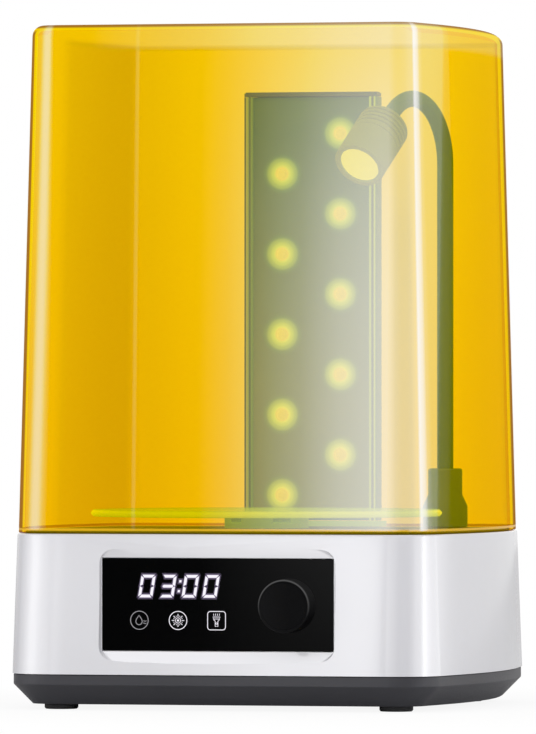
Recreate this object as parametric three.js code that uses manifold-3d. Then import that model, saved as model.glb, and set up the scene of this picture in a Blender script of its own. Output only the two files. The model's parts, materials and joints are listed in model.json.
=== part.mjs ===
// Resin wash station: a white base with a control panel, a turntable deck, a tower of curing lights,
// a swan-neck lamp and a clear amber hood that lifts off.
// Millimetres, +Z up, the front faces -Y. Places are counted from the middle of the base's plan.

import * as THREE from 'three';
import { mergeVertices } from 'three/addons/utils/BufferGeometryUtils.js';
import Module from 'manifold-3d';

const wasm = await Module();
wasm.setup();

// Clearances shared by every piece
const gap = 0.3;
const overrun = 3;

// Plan of the casing: straight front, bowed sides, round corners
const plan = { width: 263, depth: 240, frontRadius: 27, rearRadius: 22, sideBow: 10, leastRadius: 2 };
const cornerSteps = 7;
const sideSteps = 8;

// Casing, from the bench upwards
const foot = { height: 3, radius: 9.4, edge: 0.8, stemRadius: 2.7, barbRadius: 3.6, barbHeight: 2.2 };
const footInsets = { front: 27, rear: 30, frontSide: 36.5, rearSide: 39.5 };
const tray = { bandHeight: 5.6, chamferHeight: 10.8, chamferInset: 10.5, edgeInset: 0.6, wall: 3, floor: 3 };
const housing = { height: 77.1, draftDeg: 2.04, wall: 3.2, ledgeWidth: 5.3, ledgeThickness: 3, topEdge: 0.6 };
const hood = { height: 279.9, draftDeg: 1.535, wall: 3, ledge: 0.7, topRadius: 6, rimSlack: 0.25 };
const deck = { rise: 1.5, thickness: 3.7, edge: 0.5 };

const trayBottom = foot.height;
const trayTop = trayBottom + tray.chamferHeight + tray.bandHeight;
const housingBottom = trayTop + gap;
const housingTop = housingBottom + housing.height;
const hoodBottom = housingTop + gap;
const hoodTop = hoodBottom + hood.height;
const deckTop = housingTop + deck.rise;
const deckBottom = deckTop - deck.thickness;
const ledgeTop = deckBottom - gap;

const housingSlope = Math.tan(THREE.MathUtils.degToRad(housing.draftDeg));
const hoodSlope = Math.tan(THREE.MathUtils.degToRad(hood.draftDeg));
const housingTopInset = housing.height * housingSlope;
const hoodBottomInset = housingTopInset + hood.ledge;
const rimInset = hoodBottomInset + hood.wall + hood.rimSlack;
const deckInset = rimInset + gap;

// Screws that hold the tray to the housing
const screw = { radius: 1.5, headRadius: 3.2, headHeight: 2.4, length: 22 };
const screwSocket = { radius: 1.3, depth: 1.3 };
const post = { radius: 4.5, height: 40, bossRadius: 5.4, counterbore: 5, ribThickness: 2.4 };
const postInsets = { side: 20.5, front: 75, rear: 75 };

// Control panel and what it carries
const panel = { width: 130.5, height: 50.8, thickness: 3, rise: 38.6, setBack: 3.8, radius: 1.2 };
const scoop = { top: 4.9, bottom: 5.6, side: 1.4, radius: 8, arch: 1.4, lip: 0.6, reachShare: 1.8 };
const backing = { margin: 7, depth: 10.2, embed: 3, landing: 5 };
const board = { thickness: 1.6, postRadius: 2.6, postInset: 3.15, edge: 3.6, postLength: 4.6, plugHeight: 3 };
const display = { width: 54, height: 17.4, sideInset: 43.45, rise: 10.1, edge: 1.4 };
const knob = { radius: 14.9, length: 13.7, sideInset: 24.35, drop: 0.3, rim: 0.9, taper: 0.3 };
const knobSkirt = { depth: 2.2, wall: 1.8 };
const knobFace = { margin: 2.25, sink: 0.15 };
const knobTravel = 1.2;
const knobClearance = 0.4;
const encoder = { size: 12.4, wall: 1.6, cupRadius: 5.3, shaftRadius: 3 };
const bushing = { radius: 4.5, reach: 2.6 };
const rotorThickness = 2.5;
const shaftSize = { hold: 8, flat: 0.9, behind: 1 };

const panelZ = housingBottom + panel.rise;
const panelFront = -plan.depth / 2 + panel.setBack;
const panelRear = panelFront + panel.thickness;
const seatY = panelRear + gap;
const backingRear = panelFront + backing.depth - backing.embed;
const boardFront = backingRear + board.postLength + gap;
const knobZ = panelZ - knob.drop;
const displayX = display.sideInset - panel.width / 2;
const knobX = panel.width / 2 - knob.sideInset;
const knobStandOff = knobTravel + knobClearance;

// Rear wall: supply socket and rocker switch
const rearFittings = { sideInset: 69.5, rise: 22.3 };
const jack = { barrelRadius: 4.2, boreRadius: 3, pinRadius: 1, width: 11, height: 12, depth: 13 };
const jackBarrel = { boreDepth: 9, recess: 0.4 };
const switchBox = { width: 13, height: 19, depth: 12, flange: 1.3, flangeThickness: 1.2, wall: 0.9 };
const rocker = { tiltDeg: 8, slack: 0.35, rise: 1.7, dip: 0.5, skirt: 2.6, pivotRadius: 2.2, wallGap: 0.4 };

const rearX = plan.width / 2 - rearFittings.sideInset;
const rearZ = housingBottom + rearFittings.rise;

// Drive under the deck, with its hub and turntable above
const drive = { x: 0, y: -7, shaftRadius: 4 };
const motor = { radius: 18.5, length: 38, capRadius: 14, capLength: 6 };
const motorCapChamfer = 3;
const driveFit = { bore: 0.3, shaftDip: 12, boreFloor: 1.5 };
const bracket = { width: 64, depth: 44, thickness: 2.4, radius: 5, bossRadius: 9, skirt: 5, skirtWall: 2 };
const hub = { radius: 23.5, thickness: 2.5, lift: 0.6, lugInner: 14, lugHeight: 3.8, lugs: 4, lugShare: 0.5 };
const table = { radius: 98, thickness: 3.8, edge: 1.3, land: 0.86 };
const tableRing = { inner: 8, outer: 12.6, drop: 3 };
const tab = { width: 6, reach: 8.5 };

const hubBottom = deckTop + hub.lift;
const hubPlateTop = hubBottom + hub.thickness;
const lugTop = hubPlateTop + hub.lugHeight;
const tableBottom = lugTop + gap;

// Main circuit board on the tray's floor
const mainBoard = { x: -34, y: 46, width: 96, depth: 62, thickness: 1.6 };
const mainPost = { height: 6, radius: 3, inset: 5 };
const chip = { width: 22, depth: 16, height: 3, canRadius: 6, canHeight: 13 };
const terminal = { width: 30, depth: 9 };
const chipPlaces = { x: 10, y: 8, canX: -26, canY: -8, terminalY: 22, terminalHeight: 10 };
const ventSlots = { count: 7, width: 3, length: 34, pitch: 8, x: 48, y: 40 };

// Tower of curing lights
const tower = { width: 78, depth: 11, rearInset: 25.8, rise: 247.2, rim: 4.65, pocket: 4.4, radius: 1.2 };
const towerGroove = { width: 1.1, depth: 0.7, offset: 1.4 };
const towerHollow = { margin: 6, front: 1.8, back: 1.8 };
const towerFoot = { margin: 3, thickness: 3, front: 3.4, back: 1.2, radius: 2 };
const towerScrew = { radius: 1.6, inset: 1.9 };
const towerCap = { thickness: 2.4, bevel: 0.6, tongue: 3 };
const ledBoard = { thickness: 1.6, recess: 2.5, endGap: 1.2 };
const led = { baseRadius: 3.8, baseHeight: 1, domeRadius: 3, domeHeight: 2 };
const ledGrid = { x: 17, topInset: 23.5, bottomRise: 18.05, rows: 5, dropShare: 0.5 };

const towerFront = plan.depth / 2 - tower.rearInset;
const towerCrown = deckTop + tower.rise;
const ledTop = towerCrown - ledGrid.topInset;
const ledPitch = (ledTop - deckTop - ledGrid.bottomRise) / (ledGrid.rows - 1 + ledGrid.dropShare);

// Swan neck and lamp head
const neck = { sideInset: 52.2, rearInset: 28, radius: 4.6, headingDeg: 17 };
const neckArch = { radius: 36, dipDeg: 39.7 };
const neckLengths = { root: 8.4, lower: 82, upper: 82 };
const neckJoint = { rim: 2.8, tail: 2, seatDepth: 23.3 };
const socket = { lowRadius: 12.7, lowHeight: 11.8, coneHeight: 6.3, radius: 9.7, height: 33, edge: 0.8 };
const lamp = { radius: 14.6, stub: 8, sinkLength: 17, barrelLength: 20.8, dome: 3.5, fins: 4, finPitch: 3 };
const lampFin = { start: 3.6, groove: 1.1, depth: 2.2 };
const lampBarrel = { wall: 3, lensRadius: 11.4, lensThickness: 2.4, lensInset: 0.8, seatWidth: 1, edge: 0.9 };
const lampSpigot = { length: 3.4, emitterRadius: 7.5, emitterHeight: 1.6, domeRadius: 4.5, domeHeight: 1.6 };

const neckX = plan.width / 2 - neck.sideInset;
const neckY = plan.depth / 2 - neck.rearInset;
const socketTop = deckTop + gap + socket.height;
const neckLowZ = socketTop + neckLengths.root;
const neckMidZ = neckLowZ + neckLengths.lower;
const archStartZ = neckMidZ + neckLengths.upper;

// Mesh helpers

function orient(positions, triangles) {
  let volume = 0;
  const at = (i) => new THREE.Vector3().fromArray(positions, i * 3);
  for (let t = 0; t < triangles.length; t += 3) {
    const a = at(triangles[t]);
    const b = at(triangles[t + 1]);
    const c = at(triangles[t + 2]);
    volume += a.dot(b.cross(c));
  }
  if (volume >= 0) return triangles;
  const flipped = [];
  for (let t = 0; t < triangles.length; t += 3) {
    flipped.push(triangles[t], triangles[t + 2], triangles[t + 1]);
  }
  return flipped;
}

function solidOf(positions, triangles) {
  const mesh = new wasm.Mesh({
    numProp: 3,
    vertProperties: new Float32Array(positions),
    triVerts: new Uint32Array(orient(positions, triangles)),
  });
  return new wasm.Manifold(mesh);
}

function toSolid(geometry) {
  const bare = geometry.clone();
  bare.deleteAttribute('normal');
  bare.deleteAttribute('uv');
  const merged = mergeVertices(bare, 1e-4);
  const index = merged.index.array;
  const triangles = [];
  for (let t = 0; t < index.length; t += 3) {
    const [a, b, c] = [index[t], index[t + 1], index[t + 2]];
    if (a !== b && b !== c && c !== a) triangles.push(a, b, c);
  }
  return solidOf(Array.from(merged.attributes.position.array), triangles);
}

function toGeometry(solid) {
  const mesh = solid.getMesh();
  const geometry = new THREE.BufferGeometry();
  geometry.setAttribute('position', new THREE.BufferAttribute(new Float32Array(mesh.vertProperties), 3));
  geometry.setIndex(new THREE.BufferAttribute(new Uint32Array(mesh.triVerts), 1));
  geometry.computeVertexNormals();
  return geometry;
}

function cutAll(solid, cutters) {
  return cutters.reduce((left, cutter) => left.subtract(cutter), solid);
}

function addAll(solid, pieces) {
  return pieces.reduce((left, piece) => left.add(piece), solid);
}

// A box between two corners
function block(low, high) {
  const size = high.map((value, i) => value - low[i]);
  const geometry = new THREE.BoxGeometry(...size);
  geometry.translate(...high.map((value, i) => (value + low[i]) / 2));
  return toSolid(geometry);
}

// A profile of [radius, height] points turned about +Z
function turned(profile, steps = 32) {
  const points = profile.map(([radius, height]) => new THREE.Vector2(radius, height));
  const geometry = new THREE.LatheGeometry(points, steps);
  geometry.rotateX(Math.PI / 2);
  return toSolid(geometry);
}

function rod(radius, low, high, steps = 32) {
  return turned([[0, low], [radius, low], [radius, high], [0, high]], steps);
}

// A rod along Y between two values of y
function rodAlongY(radius, low, high, x, z, steps = 32) {
  return rod(radius, -high, -low, steps).rotate([90, 0, 0]).translate([x, 0, z]);
}

function roundedRectangle(width, height, radius) {
  const shape = new THREE.Shape();
  const [x, y] = [width / 2 - radius, height / 2 - radius];
  const quarter = Math.PI / 2;
  shape.absarc(x, y, radius, 0, quarter);
  shape.absarc(-x, y, radius, quarter, quarter * 2);
  shape.absarc(-x, -y, radius, quarter * 2, quarter * 3);
  shape.absarc(x, -y, radius, quarter * 3, quarter * 4);
  return shape;
}

// A shape in XY raised from one height to another
function raised(shape, low, high, curveSegments = 5) {
  const options = { depth: high - low, bevelEnabled: false, curveSegments };
  const geometry = new THREE.ExtrudeGeometry(shape, options);
  geometry.translate(0, 0, low);
  return toSolid(geometry);
}

function arcPoints(centre, radius, fromDeg, toDeg, steps) {
  return Array.from({ length: steps + 1 }, (_, i) => {
    const angle = THREE.MathUtils.degToRad(fromDeg + (toDeg - fromDeg) * i / steps);
    return [centre[0] + radius * Math.cos(angle), centre[1] + radius * Math.sin(angle)];
  });
}

// Lofted casing forms

// One side of the plan, from the middle of the front to the middle of the rear
function planSide(inset) {
  const halfWidth = plan.width / 2 - inset;
  const halfDepth = plan.depth / 2 - inset;
  const front = Math.max(plan.frontRadius - inset, plan.leastRadius);
  const rear = Math.max(plan.rearRadius - inset, plan.leastRadius);
  const low = front - halfDepth;
  const high = halfDepth - rear;
  const length = high - low;
  const bowRadius = (length * length / 4 + plan.sideBow ** 2) / (2 * plan.sideBow);
  const turn = THREE.MathUtils.radToDeg(Math.asin(length / 2 / bowRadius));
  const lean = THREE.MathUtils.degToRad(turn);
  const sideEnd = halfWidth - plan.sideBow;
  const frontCentre = [sideEnd - front * Math.cos(lean), low];
  const rearCentre = [sideEnd - rear * Math.cos(lean), high];
  return [
    ...arcPoints(frontCentre, front, -90, -turn, cornerSteps),
    ...arcPoints([halfWidth - bowRadius, (low + high) / 2], bowRadius, -turn, turn, sideSteps).slice(1, -1),
    ...arcPoints(rearCentre, rear, turn, 90, cornerSteps),
  ];
}

function planOutline(inset) {
  const right = planSide(inset);
  const left = right.map(([x, y]) => [-x, y]).reverse();
  return [...right, ...left];
}

// Rings of the plan joined in order: [inset, height] pairs, closed by two caps or back onto itself
function lofted(levels, closesOnItself = false) {
  const rings = levels.map(([inset]) => planOutline(inset));
  const count = rings[0].length;
  const positions = [];
  const triangles = [];
  levels.forEach(([, height], k) => rings[k].forEach(([x, y]) => positions.push(x, y, height)));
  const last = closesOnItself ? levels.length : levels.length - 1;
  for (let k = 0; k < last; k += 1) {
    const next = (k + 1) % levels.length;
    for (let i = 0; i < count; i += 1) {
      const j = (i + 1) % count;
      const [a, b, c, d] = [k * count + i, k * count + j, next * count + j, next * count + i];
      triangles.push(a, b, c, a, c, d);
    }
  }
  if (closesOnItself) return solidOf(positions, triangles);
  const ends = [[0, -1], [levels.length - 1, 1]];
  ends.forEach(([k, side]) => {
    const middle = positions.length / 3;
    positions.push(0, 0, levels[k][1]);
    for (let i = 0; i < count; i += 1) {
      const pair = [k * count + i, k * count + (i + 1) % count];
      triangles.push(middle, ...(side > 0 ? pair : pair.reverse()));
    }
  });
  return solidOf(positions, triangles);
}

const housingInset = (z) => (z - housingBottom) * housingSlope;
const housingFront = (z) => housingInset(z) - plan.depth / 2;
const hoodInset = (z) => hoodBottomInset + (z - hoodBottom) * hoodSlope;

// Hood: one drafted wall with a rounded top edge, open below
function makeHood() {
  const shoulderZ = hoodTop - hood.topRadius;
  const innerRadius = hood.topRadius - hood.wall;
  const shoulder = hoodInset(shoulderZ);
  const round = (radius) => arcPoints([shoulder + hood.topRadius, shoulderZ], -radius, 0, -90, 5);
  const outer = round(hood.topRadius);
  const inner = round(innerRadius);
  return lofted([
    ...outer.reverse(),
    [hoodBottomInset, hoodBottom],
    [hoodBottomInset + hood.wall, hoodBottom],
    ...inner,
  ]);
}

function makeDeckPlate() {
  const plate = lofted([
    [deckInset, deckBottom],
    [deckInset, deckTop - deck.edge],
    [deckInset + deck.edge, deckTop],
  ]);
  const shaftHole = rod(drive.shaftRadius + gap, deckBottom - overrun, deckTop + overrun);
  const wireHole = rod(neck.radius, deckBottom - overrun, deckTop + overrun);
  return cutAll(plate, [
    shaftHole.translate([drive.x, drive.y, 0]),
    wireHole.translate([neckX, neckY, 0]),
  ]);
}

// The scooped pocket round the panel: the panel's outline spreads towards the housing's face
function scoopOutline(width, top, bottom, radius, arch) {
  const points = [];
  const corners = [[1, -1, -90], [1, 1, 0], [-1, 1, 90], [-1, -1, 180]];
  const edgeSteps = 6;
  corners.forEach(([sx, sz, start]) => {
    const centre = [sx * (width / 2 - radius), sz > 0 ? top - radius : radius - bottom];
    points.push(...arcPoints(centre, radius, start, start + 90, 5));
    if (sx !== sz) return;
    const edge = sz > 0 ? top : -bottom;
    for (let i = 1; i < edgeSteps; i += 1) {
      const share = 1 - 2 * i / edgeSteps;
      const x = sx * share * (width / 2 - radius);
      points.push([x, edge + sz * arch * (1 - share * share)]);
    }
  });
  return points;
}

function makeScoop() {
  const half = panel.height / 2;
  const mouth = half + scoop.lip;
  const inner = scoopOutline(panel.width + 2 * scoop.lip, mouth, mouth, panel.radius, 0);
  const wide = panel.width + 2 * scoop.side;
  const outer = scoopOutline(wide, half + scoop.top, half + scoop.bottom, scoop.radius, scoop.arch);
  const positions = [];
  const triangles = [];
  const count = inner.length;
  inner.forEach(([x, z]) => positions.push(x, panelFront, panelZ + z));
  outer.forEach(([x, z], i) => {
    const face = housingFront(panelZ + z);
    const reach = scoop.reachShare;
    const [innerX, innerZ] = inner[i];
    positions.push(
      innerX + (x - innerX) * reach,
      panelFront + (face - panelFront) * reach,
      panelZ + innerZ + (z - innerZ) * reach,
    );
  });
  for (let i = 0; i < count; i += 1) {
    const j = (i + 1) % count;
    triangles.push(i, j, count + j, i, count + j, count + i);
  }
  positions.push(0, panelFront, panelZ);
  const frontPlane = panelFront + (housingFront(panelZ) - panelFront) * scoop.reachShare;
  positions.push(0, frontPlane, panelZ);
  for (let i = 0; i < count; i += 1) {
    const j = (i + 1) % count;
    triangles.push(2 * count, j, i, 2 * count + 1, count + i, count + j);
  }
  return solidOf(positions, triangles);
}

function housingPosts() {
  const x = plan.width / 2 - postInsets.side;
  const front = postInsets.front - plan.depth / 2;
  const rear = plan.depth / 2 - postInsets.rear;
  return [[-x, front], [-x, rear], [x, front], [x, rear]];
}

function makeHousing() {
  const wallInset = (z) => housingInset(z) + housing.wall;
  const ledgeEdge = rimInset + housing.ledgeWidth;
  const ledgeBottom = ledgeTop - housing.ledgeThickness;
  const haunch = ledgeBottom - housing.ledgeThickness;
  const shell = lofted([
    [0, housingBottom],
    [housingInset(housingTop - housing.topEdge), housingTop - housing.topEdge],
    [housingTopInset + housing.topEdge, housingTop],
    [rimInset, housingTop],
    [rimInset, ledgeTop],
    [ledgeEdge, ledgeTop],
    [ledgeEdge, ledgeBottom],
    [wallInset(haunch), haunch],
    [housing.wall, housingBottom],
  ], true);
  const halfWidth = panel.width / 2;
  const halfHeight = panel.height / 2;
  const wallFront = housingFront(panelZ + halfHeight + backing.margin) + gap;
  const back = block(
    [-halfWidth - backing.margin, wallFront, panelZ - halfHeight - backing.margin],
    [halfWidth + backing.margin, backingRear, panelZ + halfHeight + backing.margin],
  );
  const boardPosts = boardPostPlaces().map(([x, z]) => (
    rodAlongY(board.postRadius, backingRear - gap, boardFront - gap, x, z, 8)
  ));
  const screwPosts = housingPosts().flatMap(([x, y]) => {
    const column = rod(post.radius, housingBottom, housingBottom + post.height, 12).translate([x, y, 0]);
    const reach = plan.width / 2 - housing.wall;
    const [low, high] = [Math.min(x, Math.sign(x) * reach), Math.max(x, Math.sign(x) * reach)];
    const rib = block(
      [low, y - post.ribThickness / 2, housingBottom],
      [high, y + post.ribThickness / 2, housingBottom + post.height],
    );
    return [column, rib];
  });
  const inside = lofted([
    [gap, housingBottom - overrun],
    [housingInset(ledgeBottom) + gap, ledgeBottom],
  ]);
  const fittings = addAll(back, boardPosts);
  const whole = addAll(shell.add(fittings), screwPosts.map((piece) => piece.intersect(inside)));
  const slot = block(
    [-halfWidth - gap, panelFront - overrun, panelZ - halfHeight - gap],
    [halfWidth + gap, seatY, panelZ + halfHeight + gap],
  );
  const window = block(
    [-halfWidth + backing.landing, seatY - overrun, panelZ - halfHeight + backing.landing],
    [halfWidth - backing.landing, backingRear + overrun, panelZ + halfHeight - backing.landing],
  );
  const screwBores = housingPosts().map(([x, y]) => (
    rod(screw.radius + gap, housingBottom - overrun, trayBottom + post.counterbore + screw.length, 10)
      .translate([x, y, 0])
  ));
  const rearOuter = plan.depth / 2 + overrun;
  const rearInner = plan.depth / 2 - housingTopInset - housing.wall - overrun;
  const jackHole = rodAlongY(jack.barrelRadius + gap, rearInner, rearOuter, -rearX, rearZ, 16);
  const switchHole = block(
    [rearX - switchBox.width / 2 - gap, rearInner, rearZ - switchBox.height / 2 - gap],
    [rearX + switchBox.width / 2 + gap, rearOuter, rearZ + switchBox.height / 2 + gap],
  );
  return cutAll(whole, [makeScoop(), slot, window, ...screwBores, jackHole, switchHole]);
}

function makeTray() {
  const outerInset = tray.edgeInset + tray.chamferInset;
  const floorTop = trayBottom + tray.floor;
  const chamferTop = trayBottom + tray.chamferHeight;
  const slope = tray.chamferInset / tray.chamferHeight;
  const innerBottom = outerInset + tray.wall - tray.floor * slope;
  const shell = lofted([
    [outerInset, trayBottom],
    [tray.edgeInset, chamferTop],
    [tray.edgeInset, trayTop],
    [tray.edgeInset + tray.wall, trayTop],
    [tray.edgeInset + tray.wall, chamferTop],
    [innerBottom, floorTop],
  ]);
  const screwBosses = housingPosts().map(([x, y]) => (
    rod(post.bossRadius, trayBottom, trayTop, 14).translate([x, y, 0])
  ));
  const boardPosts = mainBoardPosts().map(([x, y]) => (
    rod(mainPost.radius, floorTop - gap, floorTop + mainPost.height, 8).translate([x, y, 0])
  ));
  const within = lofted([
    [outerInset + gap, trayBottom],
    [tray.edgeInset + gap, chamferTop],
    [tray.edgeInset + gap, trayTop],
  ]);
  const bosses = [...screwBosses, ...boardPosts].map((piece) => piece.intersect(within));
  const screwCuts = housingPosts().flatMap(([x, y]) => [
    rod(screw.radius + gap, trayBottom - overrun, trayTop + overrun, 10).translate([x, y, 0]),
    rod(screw.headRadius + gap, trayBottom - overrun, trayBottom + post.counterbore, 12).translate([x, y, 0]),
  ]);
  const footCuts = footCentres().map(([x, y]) => (
    rod(foot.stemRadius + gap, trayBottom - overrun, floorTop + overrun, 10).translate([x, y, 0])
  ));
  const slots = [];
  for (let i = 0; i < ventSlots.count; i += 1) {
    const shape = roundedRectangle(ventSlots.width, ventSlots.length, ventSlots.width / 2 - gap / 2);
    const x = ventSlots.x + (i - (ventSlots.count - 1) / 2) * ventSlots.pitch;
    const slot = raised(shape, trayBottom - overrun, floorTop + overrun, 2).translate([x, ventSlots.y, 0]);
    slots.push(slot);
  }
  return cutAll(addAll(shell, bosses), [...screwCuts, ...footCuts, ...slots]);
}

function footCentres() {
  const frontX = plan.width / 2 - footInsets.frontSide;
  const backX = plan.width / 2 - footInsets.rearSide;
  const frontY = footInsets.front - plan.depth / 2;
  const backY = plan.depth / 2 - footInsets.rear;
  return [[-frontX, frontY], [frontX, frontY], [-backX, backY], [backX, backY]];
}

// A rubber foot with a stem that snaps through the tray's floor
function makeFoot() {
  const padTop = foot.height - gap;
  const floorTop = trayBottom + tray.floor;
  const barbBase = floorTop + gap;
  return turned([
    [0, 0],
    [foot.radius - foot.edge, 0],
    [foot.radius, foot.edge],
    [foot.radius, padTop],
    [foot.stemRadius, padTop],
    [foot.stemRadius, barbBase],
    [foot.barbRadius, barbBase],
    [foot.stemRadius - foot.edge, barbBase + foot.barbHeight],
    [0, barbBase + foot.barbHeight],
  ], 16);
}

function makeScrew() {
  const headBottom = trayBottom + post.counterbore - gap - screw.headHeight;
  const headTop = headBottom + screw.headHeight;
  const tip = headTop + screw.length - gap * 2;
  const body = turned([
    [0, headBottom],
    [screw.headRadius, headBottom],
    [screw.headRadius, headTop],
    [screw.radius, headTop],
    [screw.radius, tip],
    [0, tip],
  ], 10);
  return body.subtract(rod(screwSocket.radius, headBottom - overrun, headBottom + screwSocket.depth, 6));
}

// Control panel parts

function boardPostPlaces() {
  const x = panel.width / 2 - backing.landing + board.postInset;
  const z = panel.height / 2 - backing.landing + board.postInset;
  return [[-x, -z], [x, -z], [x, z], [-x, z]].map(([px, pz]) => [px, panelZ + pz]);
}

// Something drawn in XY as seen from the front, standing between two values of y
function facingFront(shape, near, far, z, steps) {
  return raised(shape, -far, -near, steps).rotate([90, 0, 0]).translate([0, 0, z]);
}

function makePanel() {
  const plate = facingFront(
    roundedRectangle(panel.width, panel.height, panel.radius), panelFront, panelRear, panelZ, 3,
  );
  const hole = rodAlongY(
    bushing.radius + gap, panelFront - overrun, panelRear + overrun, knobX, knobZ, 16,
  );
  return plate.subtract(hole);
}

function makeControlBoard() {
  const [postX, postZ] = boardPostPlaces()[2];
  const plate = facingFront(
    roundedRectangle(2 * (postX + board.edge), 2 * (postZ - panelZ + board.edge), board.postRadius),
    boardFront, boardFront + board.thickness, panelZ, 4,
  );
  const plug = block(
    [-display.width / 2, boardFront + board.thickness - gap, panelZ - display.height / 2],
    [-display.width / 4, boardFront + board.thickness + board.plugHeight, panelZ],
  );
  return plate.add(plug);
}

function makeDisplay() {
  const low = panelZ + display.rise - display.height / 2;
  const body = block(
    [displayX - display.width / 2, panelRear + gap, low],
    [displayX + display.width / 2, boardFront - gap, low + display.height],
  );
  const well = block(
    [displayX - display.width / 2 + display.edge, panelRear - overrun, low + display.edge],
    [displayX + display.width / 2 - display.edge, seatY + display.edge, low + display.height - display.edge],
  );
  return body.subtract(well);
}

function makeEncoderBody() {
  const half = encoder.size / 2;
  const front = seatY + gap;
  const can = block([knobX - half, front, knobZ - half], [knobX + half, boardFront - gap, knobZ + half]);
  const collar = rodAlongY(bushing.radius, front - bushing.reach, front + gap, knobX, knobZ, 16);
  const cup = rodAlongY(
    encoder.cupRadius, front + encoder.wall, boardFront + overrun, knobX, knobZ, 16,
  );
  const bore = rodAlongY(
    encoder.shaftRadius + gap, front - bushing.reach - overrun, front + encoder.wall + overrun,
    knobX, knobZ, 16,
  );
  return cutAll(can.add(collar), [cup, bore]);
}

// Shafts and knob stand on their own axis: +Z of the mesh is out of the panel, 0 is the panel's face
function outOfPanel(mesh) {
  mesh.rotation.x = Math.PI / 2;
  mesh.position.set(knobX, panelFront, knobZ);
  return mesh;
}

const rotorFront = panelFront - (seatY + gap + encoder.wall + gap);

function makeEncoderRotor() {
  const ring = rod(encoder.cupRadius - gap, rotorFront - rotorThickness, rotorFront, 16);
  const boreRear = rotorFront - rotorThickness - overrun;
  const bore = rod(encoder.shaftRadius + gap, boreRear, rotorFront + overrun, 16);
  return ring.subtract(bore);
}

function makeEncoderShaft() {
  const rear = rotorFront - rotorThickness - shaftSize.behind;
  const front = knobStandOff + knobSkirt.depth + shaftSize.hold;
  const bar = rod(encoder.shaftRadius, rear, front, 16);
  const flat = block(
    [-encoder.size, encoder.shaftRadius - shaftSize.flat, knobStandOff + knobSkirt.depth],
    [encoder.size, encoder.size, front + overrun],
  );
  return bar.subtract(flat);
}

function makeKnob() {
  const rear = knobStandOff;
  const front = rear + knob.length;
  const wallRadius = knob.radius - knobSkirt.wall;
  const cap = turned([
    [0, rear + knobSkirt.depth],
    [wallRadius, rear + knobSkirt.depth],
    [wallRadius, rear],
    [knob.radius, rear],
    [knob.radius - knob.taper, front - knob.rim],
    ...arcPoints([knob.radius - knob.taper - knob.rim, front - knob.rim], knob.rim, 0, 90, 2).slice(1),
    [knob.radius - knobFace.margin, front - knobFace.sink],
    [0, front - knobFace.sink],
  ], 40);
  const bore = rod(encoder.shaftRadius + gap, rear, rear + knobSkirt.depth + shaftSize.hold + gap, 16);
  const flat = block(
    [-encoder.size, encoder.shaftRadius - shaftSize.flat + gap, rear - overrun],
    [encoder.size, encoder.size, front],
  );
  return cap.subtract(bore.subtract(flat));
}

// Rear wall fittings

const rearFace = (z) => plan.depth / 2 - housingInset(z);

function makeJack() {
  const front = rearFace(rearZ) - jackBarrel.recess;
  const shoulder = front - housing.wall - gap;
  const half = [jack.width / 2, jack.height / 2];
  const body = block(
    [-rearX - half[0], shoulder - jack.depth, rearZ - half[1]],
    [-rearX + half[0], shoulder, rearZ + half[1]],
  );
  const barrel = rodAlongY(jack.barrelRadius, shoulder - gap, front, -rearX, rearZ, 16);
  const bore = rodAlongY(jack.boreRadius, front - jackBarrel.boreDepth, front + overrun, -rearX, rearZ, 16);
  const pinRear = front - jackBarrel.boreDepth - gap;
  const pin = rodAlongY(jack.pinRadius, pinRear, front - gap * 2, -rearX, rearZ, 8);
  return body.add(barrel).subtract(bore).add(pin);
}

function makeSwitchBox() {
  const face = rearFace(rearZ - switchBox.height / 2) + gap;
  const outer = face + switchBox.flangeThickness;
  const [w, h] = [switchBox.width / 2, switchBox.height / 2];
  const flange = block(
    [rearX - w - switchBox.flange, face, rearZ - h - switchBox.flange],
    [rearX + w + switchBox.flange, outer, rearZ + h + switchBox.flange],
  );
  const body = block([rearX - w, outer - switchBox.depth, rearZ - h], [rearX + w, outer, rearZ + h]);
  const well = block(
    [rearX - w + switchBox.wall, outer - switchBox.depth + switchBox.wall, rearZ - h + switchBox.wall],
    [rearX + w - switchBox.wall, outer + overrun, rearZ + h - switchBox.wall],
  );
  return flange.add(body).subtract(well);
}

// The rocker's mesh stands at its pivot: local X is the pivot, local Z is up the wall, local Y is out of it
function makeRocker() {
  const half = switchBox.height / 2 - switchBox.wall - rocker.slack - rocker.wallGap;
  const width = switchBox.width - 2 * (switchBox.wall + rocker.slack);
  const shape = new THREE.Shape();
  shape.moveTo(-half, -rocker.skirt);
  shape.lineTo(-half, rocker.rise);
  shape.quadraticCurveTo(0, -rocker.dip, half, rocker.rise);
  shape.lineTo(half, -rocker.skirt);
  shape.lineTo(rocker.pivotRadius, -rocker.skirt);
  shape.absarc(0, -rocker.skirt, rocker.pivotRadius, 0, Math.PI, true);
  shape.closePath();
  return raised(shape, -width / 2, width / 2, 6).rotate([0, -90, 0]);
}

function placeRocker(mesh) {
  const face = rearFace(rearZ - switchBox.height / 2) + gap + switchBox.flangeThickness;
  mesh.rotation.x = THREE.MathUtils.degToRad(rocker.tiltDeg);
  mesh.position.set(rearX, face, rearZ);
  return mesh;
}

// Drive

const bracketTop = deckBottom - gap;
const bracketBottom = bracketTop - bracket.thickness;
const motorTop = bracketBottom - gap;
const shaftBottom = motorTop - driveFit.shaftDip;

function makeMotor() {
  const low = motorTop - motor.length;
  const body = turned([
    [0, low - motor.capLength],
    [motor.capRadius - motorCapChamfer, low - motor.capLength],
    [motor.capRadius, low - motor.capLength + motorCapChamfer],
    [motor.capRadius, low],
    [motor.radius, low],
    [motor.radius, motorTop],
    [drive.shaftRadius + driveFit.bore, motorTop],
    [drive.shaftRadius + driveFit.bore, shaftBottom - driveFit.boreFloor],
    [0, shaftBottom - driveFit.boreFloor],
  ], 24);
  return body.translate([drive.x, drive.y, 0]);
}

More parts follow.
